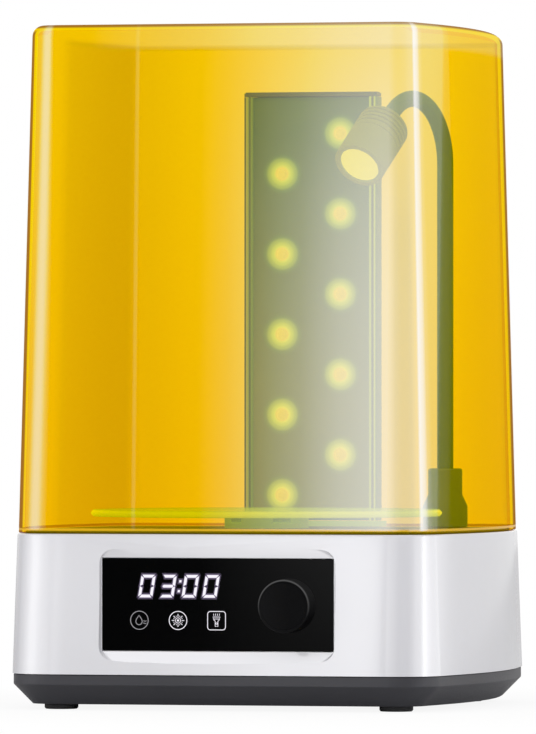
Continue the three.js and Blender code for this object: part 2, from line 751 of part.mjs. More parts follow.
function makeBracket() {
  const outline = roundedRectangle(bracket.width, bracket.depth, bracket.radius);
  const plate = raised(outline, bracketBottom, bracketTop, 3);
  const skirtBottom = bracketTop - bracket.skirt;
  const skirts = [-1, 1].map((side) => {
    const edge = side * bracket.width / 2;
    const inner = edge - side * bracket.skirtWall;
    const depth = bracket.depth / 2 - bracket.radius;
    return block([Math.min(edge, inner), -depth, skirtBottom], [Math.max(edge, inner), depth, bracketTop]);
  });
  const hole = rod(bracket.bossRadius, bracketBottom - overrun, bracketTop + overrun, 20);
  return addAll(plate, skirts).subtract(hole).translate([drive.x, drive.y, 0]);
}

function makeDriveShaft() {
  const top = hubPlateTop + hub.lugHeight / 2;
  const flat = block(
    [drive.shaftRadius - shaftSize.flat, -drive.shaftRadius, deckTop + gap],
    [drive.shaftRadius + overrun, drive.shaftRadius, top + overrun],
  );
  return rod(drive.shaftRadius, shaftBottom, top, 24).subtract(flat).translate([drive.x, drive.y, 0]);
}

// A ring sector that stands up as a driving lug
function lugShape(inner, outer, spread, turn) {
  const shape = new THREE.Shape();
  shape.absarc(0, 0, outer, turn - spread / 2, turn + spread / 2);
  shape.absarc(0, 0, inner, turn + spread / 2, turn - spread / 2, true);
  shape.closePath();
  return shape;
}

function makeHub() {
  const plate = rod(hub.radius, hubBottom, hubPlateTop, 24);
  const lugs = Array.from({ length: hub.lugs }, (_, i) => {
    const pitch = Math.PI * 2 / hub.lugs;
    const shape = lugShape(hub.lugInner, hub.radius, pitch * hub.lugShare, pitch * i);
    return raised(shape, hubPlateTop - gap, lugTop, 3);
  });
  const hole = rod(drive.shaftRadius + gap, hubBottom - overrun, lugTop + overrun, 16);
  const flat = block(
    [drive.shaftRadius - shaftSize.flat + gap, -hub.lugInner, hubBottom - overrun],
    [hub.lugInner, hub.lugInner, lugTop + overrun],
  );
  return addAll(plate, lugs).subtract(hole.subtract(flat)).translate([drive.x, drive.y, 0]);
}

function makeTurntable() {
  const top = tableBottom + table.thickness;
  const edgeZ = tableBottom + table.thickness / 2;
  const ringBottom = tableBottom - tableRing.drop;
  const disc = turned([
    [0, tableBottom],
    [tableRing.inner, tableBottom],
    [tableRing.inner, ringBottom],
    [tableRing.outer, ringBottom],
    [tableRing.outer, tableBottom],
    [table.radius - table.edge, tableBottom],
    [table.radius, edgeZ - table.land / 2],
    [table.radius, edgeZ + table.land / 2],
    [table.radius - table.edge, top],
    [0, top],
  ], 64);
  const tabs = Array.from({ length: hub.lugs }, (_, i) => {
    const turn = 360 * (i + 0.5) / hub.lugs;
    return block(
      [tableRing.inner + gap, -tab.width / 2, ringBottom],
      [tableRing.outer + tab.reach, tab.width / 2, tableBottom + gap],
    ).rotate([0, 0, turn]);
  });
  return addAll(disc, tabs).translate([drive.x, drive.y, 0]);
}

// Circuit board on the tray

function mainBoardPosts() {
  const x = mainBoard.width / 2 - mainPost.inset;
  const y = mainBoard.depth / 2 - mainPost.inset;
  return [[-x, -y], [x, -y], [x, y], [-x, y]].map(([px, py]) => [mainBoard.x + px, mainBoard.y + py]);
}

function makeMainBoard() {
  const low = trayBottom + tray.floor + mainPost.height + gap;
  const top = low + mainBoard.thickness;
  const [w, d] = [mainBoard.width / 2, mainBoard.depth / 2];
  const plate = block([-w, -d, low], [w, d, top]);
  const part = (x, y, width, depth, height) => block(
    [x - width / 2, y - depth / 2, top - gap],
    [x + width / 2, y + depth / 2, top + height],
  );
  const pieces = [
    part(chipPlaces.x, chipPlaces.y, chip.width, chip.depth, chip.height),
    part(0, chipPlaces.terminalY, terminal.width, terminal.depth, chipPlaces.terminalHeight),
    rod(chip.canRadius, top - gap, top + chip.canHeight, 20).translate([chipPlaces.canX, chipPlaces.canY, 0]),
  ];
  return addAll(plate, pieces).translate([mainBoard.x, mainBoard.y, 0]);
}

// Tower

const towerBase = deckTop + gap + towerFoot.thickness + gap;
const towerTop = towerCrown - towerCap.thickness - gap;

function towerSection() {
  const w = tower.width / 2;
  const pocket = w - tower.rim;
  const grooveInner = pocket + towerGroove.offset;
  const grooveOuter = grooveInner + towerGroove.width;
  const right = [
    [pocket, tower.pocket],
    [pocket, 0],
    [grooveInner, 0],
    [(grooveInner + grooveOuter) / 2, towerGroove.depth],
    [grooveOuter, 0],
    [w - tower.radius, 0],
    [w, tower.radius],
    [w, tower.depth],
  ];
  const left = right.map(([x, y]) => [-x, y]).reverse();
  const shape = new THREE.Shape([...left, ...right].map(([x, y]) => new THREE.Vector2(x, y)));
  const hollow = new THREE.Path();
  const hw = w - towerHollow.margin;
  const hFront = tower.pocket + towerHollow.front;
  const hBack = tower.depth - towerHollow.back;
  hollow.moveTo(-hw, hFront);
  hollow.lineTo(hw, hFront);
  hollow.lineTo(hw, hBack);
  hollow.lineTo(-hw, hBack);
  hollow.closePath();
  shape.holes.push(hollow);
  return shape;
}

function makeTowerChannel() {
  return raised(towerSection(), towerBase, towerTop).translate([0, towerFront, 0]);
}

function makeTowerFoot() {
  const low = deckTop + gap;
  const width = tower.width + 2 * towerFoot.margin;
  const depth = tower.depth + towerFoot.front + towerFoot.back;
  const plate = raised(roundedRectangle(width, depth, towerFoot.radius), low, low + towerFoot.thickness, 2);
  const holes = [-1, 1].map((side) => (
    rod(towerScrew.radius, low - overrun, low + towerFoot.thickness + overrun, 14)
      .translate([side * (tower.width / 2 - tower.rim), towerScrew.inset - depth / 2 + gap, 0])
  ));
  const middle = towerFront + (tower.depth + towerFoot.back - towerFoot.front) / 2;
  return cutAll(plate, holes).translate([0, middle, 0]);
}

function makeTowerCap() {
  const low = towerCrown - towerCap.thickness;
  const outer = roundedRectangle(tower.width, tower.depth, tower.radius);
  const lid = raised(outer, low, towerCrown - towerCap.bevel, 2);
  const innerWidth = tower.width - 2 * towerCap.bevel;
  const inner = roundedRectangle(innerWidth, tower.depth - 2 * towerCap.bevel, tower.radius);
  const crown = raised(inner, low, towerCrown, 2);
  const hollowFront = tower.pocket + towerHollow.front + gap - tower.depth / 2;
  const hollowBack = tower.depth / 2 - towerHollow.back - gap;
  const reach = tower.width / 2 - towerHollow.margin - gap;
  const tongue = block([-reach, hollowFront, low - towerCap.tongue], [reach, hollowBack, low + gap]);
  return addAll(lid, [crown, tongue]).translate([0, towerFront + tower.depth / 2, 0]);
}

const ledBoardFront = towerFront + ledBoard.recess;

function makeLedBoard() {
  const reach = tower.width / 2 - tower.rim - gap;
  return block(
    [-reach, ledBoardFront, towerBase + ledBoard.endGap],
    [reach, ledBoardFront + ledBoard.thickness, towerTop - gap],
  );
}

// A light on its own axis: +Z of the mesh is out of the board
function makeLed() {
  const rings = 2;
  const dome = Array.from({ length: rings }, (_, i) => {
    const angle = Math.PI / 2 * (i + 1) / rings;
    return [led.domeRadius * Math.cos(angle), led.baseHeight + led.domeHeight * Math.sin(angle)];
  });
  return turned([
    [0, 0],
    [led.baseRadius, 0],
    [led.baseRadius, led.baseHeight],
    [led.domeRadius, led.baseHeight],
    ...dome.slice(0, -1),
    [0, led.baseHeight + led.domeHeight],
  ], 12);
}

function ledPlaces() {
  const places = [];
  for (let row = 0; row < ledGrid.rows; row += 1) {
    const z = ledTop - row * ledPitch;
    places.push([ledGrid.x, z], [-ledGrid.x, z - ledGrid.dropShare * ledPitch]);
  }
  return places;
}

// Swan neck: in the neck's own frame +X points towards the lamp and +Z is up

function makeSocket() {
  const low = deckTop + gap;
  const coneBottom = low + socket.lowHeight;
  const coneTop = coneBottom + socket.coneHeight;
  const seat = socketTop - neckJoint.seatDepth;
  return turned([
    [0, low],
    [socket.lowRadius, low],
    [socket.lowRadius, coneBottom],
    [socket.radius, coneTop],
    [socket.radius, socketTop - socket.edge],
    [socket.radius - socket.edge, socketTop],
    [neck.radius + gap, socketTop],
    [neck.radius + gap, seat],
    [0, seat],
  ], 20);
}

// A length of neck: a ball end sits in the cup of the piece before, and a cup end holds the next ball
function neckProfile(length, ballStart, steps) {
  const cupRadius = neck.radius + gap;
  const start = ballStart ? arcPoints([0, 0], neck.radius, -90, 0, 4) : [[0, 0], [neck.radius, 0]];
  const wallEnd = length - neckJoint.rim;
  const wall = [];
  for (let i = 1; i <= steps; i += 1) wall.push([neck.radius, wallEnd * i / steps]);
  const opening = THREE.MathUtils.radToDeg(Math.acos(neckJoint.rim / cupRadius));
  const cup = arcPoints([0, length], cupRadius, opening - 90, -90, 3);
  cup[cup.length - 1][0] = 0;
  start[0][0] = 0;
  return [...start, ...wall, ...cup];
}

// Bends a straight turned piece along a centre line that gives x, z and the lean at each distance
function bent(profile, length, line) {
  const points = profile.map(([radius, height]) => new THREE.Vector2(radius, height));
  const geometry = new THREE.LatheGeometry(points, 12);
  geometry.rotateX(Math.PI / 2);
  const place = geometry.attributes.position;
  for (let i = 0; i < place.count; i += 1) {
    const [px, py, pz] = [place.getX(i), place.getY(i), place.getZ(i)];
    const along = Math.min(Math.max(pz, 0), length);
    const { x, z, lean } = line(along);
    const [sine, cosine] = [Math.sin(lean), Math.cos(lean)];
    const rest = pz - along;
    place.setXYZ(i, x + rest * sine + px * cosine, py, z + rest * cosine - px * sine);
  }
  return toSolid(geometry);
}

const archEnd = THREE.MathUtils.degToRad(90 + neckArch.dipDeg);
const archEndPoint = {
  x: neckArch.radius * (1 - Math.cos(archEnd)),
  z: archStartZ + neckArch.radius * Math.sin(archEnd),
};
const lampPivot = {
  x: archEndPoint.x + neckJoint.tail * Math.sin(archEnd),
  z: archEndPoint.z + neckJoint.tail * Math.cos(archEnd),
};

function uprightLine(startZ) {
  return (along) => ({ x: 0, z: startZ + along, lean: 0 });
}

function archLine(startAngle) {
  return (along) => {
    const lean = startAngle + along / neckArch.radius;
    if (lean <= archEnd) {
      const x = neckArch.radius * (1 - Math.cos(lean));
      return { x, z: archStartZ + neckArch.radius * Math.sin(lean), lean };
    }
    const beyond = (lean - archEnd) * neckArch.radius;
    const x = archEndPoint.x + beyond * Math.sin(archEnd);
    return { x, z: archEndPoint.z + beyond * Math.cos(archEnd), lean: archEnd };
  };
}

function neckPieces() {
  const seatZ = socketTop - neckJoint.seatDepth + gap;
  const quarter = Math.PI / 2;
  const frontLength = (archEnd - quarter) * neckArch.radius + neckJoint.tail;
  return {
    neck_root: [seatZ, neckLowZ, false],
    neck_lower: [neckLowZ, neckMidZ, true],
    neck_upper: [neckMidZ, archStartZ, true],
    neck_arch: [0, quarter * neckArch.radius, true, archLine(0), 10],
    neck_tip: [0, frontLength, true, archLine(quarter), 6],
  };
}

function makeNeckPiece([low, high, ballStart, line, steps]) {
  const length = high - low;
  return bent(neckProfile(length, ballStart, steps || 2), length, line || uprightLine(low));
}

// Lamp head on its own axis: the pivot is at 0 and the light leaves towards +Z

function makeLampSink() {
  const sinkEnd = lamp.stub + lamp.sinkLength;
  const spigot = lamp.radius - lampBarrel.wall - gap;
  const profile = [
    ...arcPoints([0, 0], neck.radius, -90, 0, 4),
    [neck.radius, lamp.stub],
    ...arcPoints([lamp.radius - lamp.dome, lamp.stub + lamp.dome], lamp.dome, -90, 0, 3),
  ];
  profile[0][0] = 0;
  for (let i = 0; i < lamp.fins; i += 1) {
    const low = lamp.stub + lampFin.start + i * lamp.finPitch;
    profile.push(
      [lamp.radius, low],
      [lamp.radius - lampFin.depth, low],
      [lamp.radius - lampFin.depth, low + lampFin.groove],
      [lamp.radius, low + lampFin.groove],
    );
  }
  profile.push(
    [lamp.radius, sinkEnd],
    [spigot, sinkEnd],
    [spigot, sinkEnd + lampSpigot.length],
    [0, sinkEnd + lampSpigot.length],
  );
  return turned(profile, 20);
}

const barrelStart = lamp.stub + lamp.sinkLength + gap;
const barrelEnd = barrelStart + lamp.barrelLength;
const lensFront = barrelEnd - lampBarrel.lensInset;
const lensBack = lensFront - lampBarrel.lensThickness;

function makeLampBarrel() {
  const inner = lamp.radius - lampBarrel.wall;
  const mouth = lampBarrel.lensRadius + gap;
  const seat = lampBarrel.lensRadius - lampBarrel.seatWidth;
  return turned([
    [lamp.radius, barrelStart],
    [lamp.radius, barrelEnd - lampBarrel.edge],
    [lamp.radius - lampBarrel.edge, barrelEnd],
    [mouth, barrelEnd],
    [mouth, lensBack - gap],
    [seat, lensBack - gap],
    [seat, lensBack - gap - lampBarrel.seatWidth],
    [inner, lensBack - gap - lampBarrel.seatWidth * 2],
    [inner, barrelStart],
    [lamp.radius, barrelStart],
  ], 20);
}

function makeLampLens() {
  return turned([
    [0, lensBack],
    [lampBarrel.lensRadius, lensBack],
    [lampBarrel.lensRadius, lensFront - gap * 2],
    [lampBarrel.lensRadius - gap * 2, lensFront],
    [0, lensFront],
  ], 20);
}

function makeLampEmitter() {
  const low = lamp.stub + lamp.sinkLength + lampSpigot.length + gap;
  const top = low + lampSpigot.emitterHeight;
  return turned([
    [0, low],
    [lampSpigot.emitterRadius, low],
    [lampSpigot.emitterRadius, top],
    [lampSpigot.domeRadius, top],
    [lampSpigot.domeRadius - lampSpigot.domeHeight, top + lampSpigot.domeHeight],
    [0, top + lampSpigot.domeHeight],
  ], 14);
}

// Scene graph

const finishes = {
  gloss_white: { color: 0xececf2, roughness: 0.28, metalness: 0 },
  dark_plastic: { color: 0x3a3a3d, roughness: 0.5, metalness: 0 },
  black_rubber: { color: 0x161617, roughness: 0.85, metalness: 0 },
  deck_grey: { color: 0x35363a, roughness: 0.45, metalness: 0 },
  panel_black: { color: 0x050506, roughness: 0.12, metalness: 0 },
  knob_black: { color: 0x0c0c0d, roughness: 0.35, metalness: 0 },
  board_green: { color: 0x1f5a38, roughness: 0.55, metalness: 0 },
  board_dark: { color: 0x4a4c50, roughness: 0.5, metalness: 0.1 },
  black_plastic: { color: 0x111113, roughness: 0.5, metalness: 0 },
  steel: { color: 0xb4b6ba, roughness: 0.3, metalness: 1 },
  zinc: { color: 0x9da0a4, roughness: 0.4, metalness: 1 },
  tower_grey: { color: 0x55575c, roughness: 0.35, metalness: 0.8 },
  led_lens: { color: 0xd7e25a, roughness: 0.2, metalness: 0 },
  clear_acrylic: { color: 0xd9e6b0, roughness: 0.1, metalness: 0 },
  neck_grey: { color: 0x4b4d50, roughness: 0.6, metalness: 0 },
  lamp_grey: { color: 0x56585c, roughness: 0.4, metalness: 0.7 },
  lamp_glass: { color: 0xe8e6b4, roughness: 0.1, metalness: 0 },
  amber_acrylic: { color: 0xf0b400, roughness: 0.05, metalness: 0, transparent: true, opacity: 0.45 },
};

const station = new THREE.Group();

function addPiece(name, solid, finish, parent = station) {
  const material = new THREE.MeshStandardMaterial(finishes[finish]);
  const mesh = new THREE.Mesh(toGeometry(solid), material);
  mesh.name = name;
  parent.add(mesh);
  return mesh;
}

function addCasing() {
  addPiece('base_housing', makeHousing(), 'gloss_white');
  addPiece('bottom_shell', makeTray(), 'dark_plastic');
  addPiece('deck_plate', makeDeckPlate(), 'deck_grey');
  addPiece('hood', makeHood(), 'amber_acrylic');
  footCentres().forEach(([x, y], i) => {
    addPiece(`rubber_foot_${i + 1}`, makeFoot(), 'black_rubber').position.set(x, y, 0);
  });
  housingPosts().forEach(([x, y], i) => {
    addPiece(`casing_screw_${i + 1}`, makeScrew(), 'steel').position.set(x, y, 0);
  });
}

function addControls() {
  addPiece('control_panel', makePanel(), 'panel_black');
  addPiece('display_module', makeDisplay(), 'black_plastic');
  addPiece('control_board', makeControlBoard(), 'board_green');
  addPiece('encoder_body', makeEncoderBody(), 'zinc');
  outOfPanel(addPiece('encoder_rotor', makeEncoderRotor(), 'black_plastic'));
  outOfPanel(addPiece('encoder_shaft', makeEncoderShaft(), 'steel'));
  outOfPanel(addPiece('control_knob', makeKnob(), 'knob_black'));
  addPiece('supply_jack', makeJack(), 'black_plastic');
  addPiece('switch_box', makeSwitchBox(), 'black_plastic');
  placeRocker(addPiece('power_rocker', makeRocker(), 'knob_black'));
}

function addDrive() {
  addPiece('drive_motor', makeMotor(), 'zinc');
  addPiece('motor_bracket', makeBracket(), 'steel');
  addPiece('drive_shaft', makeDriveShaft(), 'steel');
  addPiece('drive_hub', makeHub(), 'dark_plastic');
  addPiece('turntable', makeTurntable(), 'clear_acrylic');
  addPiece('main_board', makeMainBoard(), 'board_green');
}

function addTower() {
  addPiece('tower_channel', makeTowerChannel(), 'tower_grey');
  addPiece('tower_foot', makeTowerFoot(), 'dark_plastic');
  addPiece('tower_cap', makeTowerCap(), 'dark_plastic');
  addPiece('led_board', makeLedBoard(), 'board_dark');
  ledPlaces().forEach(([x, z], i) => {
    const mesh = addPiece(`uv_led_${i + 1}`, makeLed(), 'led_lens');
    mesh.rotation.x = Math.PI / 2;
    mesh.position.set(x, ledBoardFront - gap, z);
  });
}

function addNeck() {
  const arm = new THREE.Group();
  arm.position.set(neckX, neckY, 0);
  arm.rotation.z = -THREE.MathUtils.degToRad(90 + neck.headingDeg);
  station.add(arm);
  addPiece('neck_socket', makeSocket(), 'dark_plastic', arm);
  Object.entries(neckPieces()).forEach(([name, piece]) => {
    addPiece(name, makeNeckPiece(piece), 'neck_grey', arm);
  });
  const head = new THREE.Group();
  head.position.set(lampPivot.x, 0, lampPivot.z);
  head.rotation.y = archEnd;
  arm.add(head);
  addPiece('lamp_heat_sink', makeLampSink(), 'lamp_grey', head);
  addPiece('lamp_barrel', makeLampBarrel(), 'lamp_grey', head);
  addPiece('lamp_emitter', makeLampEmitter(), 'led_lens', head);
  addPiece('lamp_lens', makeLampLens(), 'lamp_glass', head);
}

addCasing();
addControls();
addDrive();
addTower();
addNeck();

// The origin is moved to the middle of the whole part's footprint, on the bench
const part = new THREE.Group();
part.name = 'resin_wash_station';
part.add(station);
part.updateMatrixWorld(true);
const extent = new THREE.Box3().setFromObject(station, true);
station.position.set(-(extent.min.x + extent.max.x) / 2, -(extent.min.y + extent.max.y) / 2, -extent.min.z);
part.updateMatrixWorld(true);

export default part;
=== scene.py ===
"""Looks of the resin wash station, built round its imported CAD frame."""

import json
import math

import bmesh
import bpy
from mathutils import Matrix, Vector

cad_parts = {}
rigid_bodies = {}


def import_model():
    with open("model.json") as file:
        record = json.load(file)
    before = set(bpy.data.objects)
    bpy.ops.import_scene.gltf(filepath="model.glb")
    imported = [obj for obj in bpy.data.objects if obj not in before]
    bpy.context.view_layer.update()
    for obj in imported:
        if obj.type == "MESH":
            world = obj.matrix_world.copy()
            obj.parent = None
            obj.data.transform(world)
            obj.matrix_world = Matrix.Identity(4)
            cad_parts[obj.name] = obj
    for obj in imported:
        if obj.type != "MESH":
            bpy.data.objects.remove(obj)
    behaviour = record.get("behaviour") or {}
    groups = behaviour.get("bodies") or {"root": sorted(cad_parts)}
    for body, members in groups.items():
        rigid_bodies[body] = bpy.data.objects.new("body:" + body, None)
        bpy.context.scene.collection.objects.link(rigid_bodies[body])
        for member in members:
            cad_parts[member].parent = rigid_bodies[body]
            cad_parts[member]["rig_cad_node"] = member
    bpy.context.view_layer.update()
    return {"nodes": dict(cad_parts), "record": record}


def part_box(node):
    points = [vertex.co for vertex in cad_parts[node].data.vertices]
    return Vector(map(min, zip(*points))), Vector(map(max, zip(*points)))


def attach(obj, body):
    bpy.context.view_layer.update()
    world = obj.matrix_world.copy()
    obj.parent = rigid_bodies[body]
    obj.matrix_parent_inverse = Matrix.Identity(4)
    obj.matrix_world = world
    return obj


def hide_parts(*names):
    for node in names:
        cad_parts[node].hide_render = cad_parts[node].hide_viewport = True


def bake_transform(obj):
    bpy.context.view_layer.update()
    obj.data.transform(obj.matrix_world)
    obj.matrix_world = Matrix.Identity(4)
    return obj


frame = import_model()
nodes = frame["nodes"]

MM = 0.001
GAP = 0.3
DEGREES = 180 / math.pi
WHITE = (1, 1, 1)
BLACK = (0, 0, 0)

# Sizes shared with the CAD, in millimetres
PLAN = {"width": 263, "depth": 240, "front": 27, "rear": 22, "bow": 10, "least": 2}
HOOD = {"low": 97.1, "high": 377.0, "inset": 3.447, "wall": 3, "radius": 6, "draft": 1.535}
MID_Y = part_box("base_housing")[1].y / MM - PLAN["depth"] / 2
panel_low, panel_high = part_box("control_panel")
PANEL_FRONT = panel_low.y / MM
PANEL_MID = ((panel_low.x + panel_high.x) / 2 / MM, (panel_low.z + panel_high.z) / 2 / MM)


def mid(node):
    low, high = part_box(node)
    return (low + high) / 2


def new_object(name, data):
    obj = bpy.data.objects.new(name, data)
    bpy.context.scene.collection.objects.link(obj)
    return obj


def aim_at(obj, place, target):
    obj.location = place
    obj.rotation_mode = "QUATERNION"
    obj.rotation_quaternion = (Vector(target) - Vector(place)).to_track_quat("-Z", "Y")


# The camera, fitted to the outlines in the photograph
YAW = math.radians(14.2)
DISTANCE = 5.32
EYE_Z = 0.1712
AIM_Z = 0.1888
PHOTO_HIGH = 734
LENS_PIXELS = 9515
SIDE_PIXELS = 1.7
SENSOR = 36

camera_data = bpy.data.cameras.new("camera")
camera_data.sensor_width = SENSOR
camera_data.lens = LENS_PIXELS / PHOTO_HIGH * SENSOR
camera_data.shift_x = -SIDE_PIXELS / PHOTO_HIGH
camera_data.clip_start = 0.05
camera_data.clip_end = 60
camera = new_object("camera", camera_data)
eye = (math.sin(YAW) * DISTANCE, MID_Y * MM - math.cos(YAW) * DISTANCE, EYE_Z)
aim_at(camera, eye, (0, MID_Y * MM, AIM_Z))
bpy.context.scene.camera = camera
bpy.context.scene.view_settings.view_transform = "Standard"


# Materials
class Tree:
    """The node tree of a material or a world, with short calls."""

    def __init__(self, name, world=False):
        self.owner = (bpy.data.worlds if world else bpy.data.materials).new(name)
        self.owner.use_nodes = True
        self.nodes = self.owner.node_tree.nodes
        self.links = self.owner.node_tree.links
        self.nodes.clear()
        self.output = self.nodes.new("ShaderNodeOutputWorld" if world else "ShaderNodeOutputMaterial")

    def add(self, kind, **values):
        node = self.nodes.new("ShaderNode" + kind)
        for key, value in values.items():
            setattr(node, key, value)
        return node

    def put(self, socket, value):
        if isinstance(value, bpy.types.NodeSocket):
            self.links.new(value, socket)
        elif value is not None:
            if isinstance(value, (tuple, list)) and socket.type == "RGBA" and len(value) == 3:
                value = (*value, 1)
            socket.default_value = value

    def fill(self, node, values):
        for place, value in values.items():
            self.put(node.inputs[place], value)
        return node.outputs

    def math(self, operation, a, b=None, c=None, clamp=False):
        node = self.add("Math", operation=operation, use_clamp=clamp)
        return self.fill(node, {0: a, 1: b, 2: c})[0]

    def times(self, *values):
        product = values[0]
        for value in values[1:]:
            product = self.math("MULTIPLY", product, value)
        return product

    def plus(self, a, b):
        return self.math("ADD", a, b)

    def minus(self, a, b):
        return self.math("SUBTRACT", a, b)

    def radius(self, a, b):
        return self.math("SQRT", self.plus(self.times(a, a), self.times(b, b)))

    def compass(self, right, front):
        """The angle in degrees from straight in front."""
        return self.times(self.math("ARCTAN2", right, front), DEGREES)

    def vector(self, operation, a, b=None):
        node = self.add("VectorMath", operation=operation)
        outputs = self.fill(node, {0: a, 1: b})
        return outputs["Value" if operation in ("LENGTH", "DISTANCE") else "Vector"]

    def scaled(self, vector, by):
        node = self.add("VectorMath", operation="SCALE")
        return self.fill(node, {0: vector, "Scale": by})["Vector"]

    def place(self):
        return self.add("TexCoord").outputs["Object"]

    def axes(self, vector=None):
        return self.fill(self.add("SeparateXYZ"), {0: vector or self.place()})

    def noise(self, scale, detail=3, rough=0.5, stretch=None):
        source = self.place()
        if stretch:
            mapping = self.add("Mapping")
            source = self.fill(mapping, {"Vector": source, "Scale": stretch})[0]
        values = {"Vector": source, "Scale": scale, "Detail": detail, "Roughness": rough}
        return self.fill(self.add("TexNoise"), values)["Fac"]

    def spread(self, value, low, high, to_low=0.0, to_high=1.0, smooth=False):
        node = self.add("MapRange", clamp=True)
        node.interpolation_type = "SMOOTHSTEP" if smooth else "LINEAR"
        return self.fill(node, {0: value, 1: low, 2: high, 3: to_low, 4: to_high})[0]

    def fall(self, value, low, high, to=0.0):
        return self.spread(value, low, high, 1.0, to)

    def between(self, value, rise, fall, beyond=0.0):
        """1 from the end of the rise to the start of the fall, and less past both."""
        return self.times(self.spread(value, *rise), self.fall(value, *fall, beyond))

    def vary(self, noise, low=0.0, high=1.0):
        """Stretches the middle of a noise over a range."""
        return self.spread(noise, 0.3, 0.7, low, high)

    def mix_value(self, factor, a, b):
        node = self.add("Mix", data_type="FLOAT")
        return self.fill(node, {0: factor, 2: a, 3: b})[0]

    def mix(self, factor, a, b):
        node = self.add("Mix", data_type="RGBA")
        return self.fill(node, {0: factor, 6: a, 7: b})[2]

    def shaded(self, colour, share, shade):
        """The colour times a shade, as far as the share says."""
        return self.vector("MULTIPLY", colour, self.mix(share, WHITE, shade))

    def ramp(self, value, stops, interpolation="LINEAR"):
        node = self.add("ValToRGB")
        node.color_ramp.interpolation = interpolation
        elements = node.color_ramp.elements
        elements[0].position, elements[0].color = stops[0][0], (*stops[0][1], 1)
        elements[1].position, elements[1].color = stops[-1][0], (*stops[-1][1], 1)
        for where, colour in stops[1:-1]:
            elements.new(where).color = (*colour, 1)
        return self.fill(node, {0: value})[0]

    def curve(self, value, rows):
        """A line through (value, level) pairs."""
        low, high = rows[0][0], rows[-1][0]
        stops = [((where - low) / (high - low), (level,) * 3) for where, level in rows]
        return self.spread(self.ramp(self.spread(value, low, high), stops), 0, 1)

    def blend(self, factor, a, b):
        return self.fill(self.add("MixShader"), {0: factor, 1: a, 2: b})[0]

    def bump(self, height, strength, distance):
        values = {"Strength": strength, "Distance": distance, "Height": height}
        return self.fill(self.add("Bump"), values)[0]

    def shader(self, kind, **values):
        spoken = {key.replace("_", " "): value for key, value in values.items()}
        return self.fill(self.add(kind), spoken)[0]

    def principled(self, **values):
        return self.shader("BsdfPrincipled", **values)

    def finish(self, shader):
        self.links.new(shader, self.output.inputs["Surface"])
        return self.owner

    def surface(self, **values):
        return self.finish(self.principled(**values))


def linear(*rgb):
    """A colour written as 0 to 255 on screen."""
    return tuple(
        c / 255 / 12.92 if c / 255 <= 0.04045 else ((c / 255 + 0.055) / 1.055) ** 2.4
        for c in rgb
    )


def toned(colour, by):
    return tuple(min(c * by, 1) for c in colour)


def plastic(name, colour, rough, grain, depth, specular):
    """Moulded plastic: a fine spark-eroded grain, slow colour drift and uneven gloss."""
    t = Tree(name)
    fine = t.noise(grain, 3, 0.6)
    return t.surface(
        Base_Color=t.scaled(colour, t.vary(t.noise(14, 2), 0.96, 1.04)),
        Roughness=t.vary(fine, rough - 0.05, rough + 0.05),
        Specular_IOR_Level=specular,
        Normal=t.bump(fine, depth, 0.0004),
    )


def metal(name, colour, rough, stretch, scale):
    """Brushed or turned metal with lines along one axis."""
    t = Tree(name)
    lines = t.noise(scale, 4, 0.6, stretch=stretch)
    return t.surface(
        Base_Color=t.mix(t.vary(lines), toned(colour, 0.8), toned(colour, 1.15)),
        Metallic=1.0,
        Roughness=t.vary(lines, rough - 0.08, rough + 0.08),
        Normal=t.bump(lines, 0.05, 0.0003),
    )


def circuit(name, mask, trace):
    """Solder mask with raised copper runs and small parts' pads."""
    t = Tree(name)
    brick = t.fill(t.add("TexBrick", offset=0.37, squash=1.4), {
        "Vector": t.place(),
        "Scale": 120,
        "Mortar Size": 0.012,
        "Color1": WHITE,
        "Color2": (0.7, 0.7, 0.7),
        "Mortar": BLACK,
    })
    cells = t.fill(t.add("TexVoronoi", distance="MANHATTAN"), {"Vector": t.place(), "Scale": 210})
    pads = t.math("LESS_THAN", cells["Distance"], 0.16)
    base = t.mix(t.spread(brick["Color"], 0, 1), trace, mask)
    return t.surface(
        Base_Color=t.mix(t.times(pads, 0.7), base, linear(190, 188, 176)),
        Roughness=t.vary(t.noise(300), 0.35, 0.5),
        Normal=t.bump(t.plus(brick["Fac"], pads), 0.2, 0.0002),
    )


# The hood's tint low and high, its dark edges, the painted shade of its far corners, and the colours of the
# painted window reflection and of the painted shade in the bend and on the left half
AMBER_TOP = (0.994, 0.878, 0.05)
AMBER_LOW = (0.990, 0.850, 0.06)
EDGE_BROWN = (0.32, 0.13, 0.3)
FAR_SHADE = (0.8775, 0.852, 0.8)
WINDOW_REFLECTION_TINT = (0.94, 1.13, 1.0)
BEND_SHADE_COLOUR = (0.82, 0.84, 0.95)
LEFT_SHADE_COLOUR = (0.955, 0.955, 1.0)

# Places on the hood in metres: where its crown and corners start, where the painted top reflection, the
# painted shade of the bend and the brown rim begin and are full, and bands of height with their rise and
# fall
CROWN = (0.3708, 0.3716)
CORNER_X, CORNER_Y = (0.088, 0.094), (0.090, 0.095)
SIDE_WALL_X = 0.1
TOP_REFLECTION_START, BEND_SHADE_START, RIM_START = (0.3621, 0.3652), (0.34, 0.26), (0.0978, 0.0972)
FOOT_BAND = ((0.0983, 0.0988), (0.0996, 0.1001))
WALL_BAND = ((0.0985, 0.0995), (0.3740, 0.3768))
SEAM_BAND = ((0.3696, 0.3706), (0.3722, 0.3734))

# From where a skin counts as seen edge on, 0 to 1: on the walls, in the corners and on the crown
EDGE_WALL, EDGE_CORNER = 0.93, 0.56
SINGLE_WALL, SINGLE_CORNER, SINGLE_CROWN = 0.868, 0.47, 0.134

# The least and most that a skin mirrors, and the y places in front of which the painted window reflection
# and the painted rear glint lie
LEAST_MIRROR, MOST_MIRROR = 0.0006, 0.86
WINDOW_Y, REAR_GLINT_Y = -0.06, -0.09

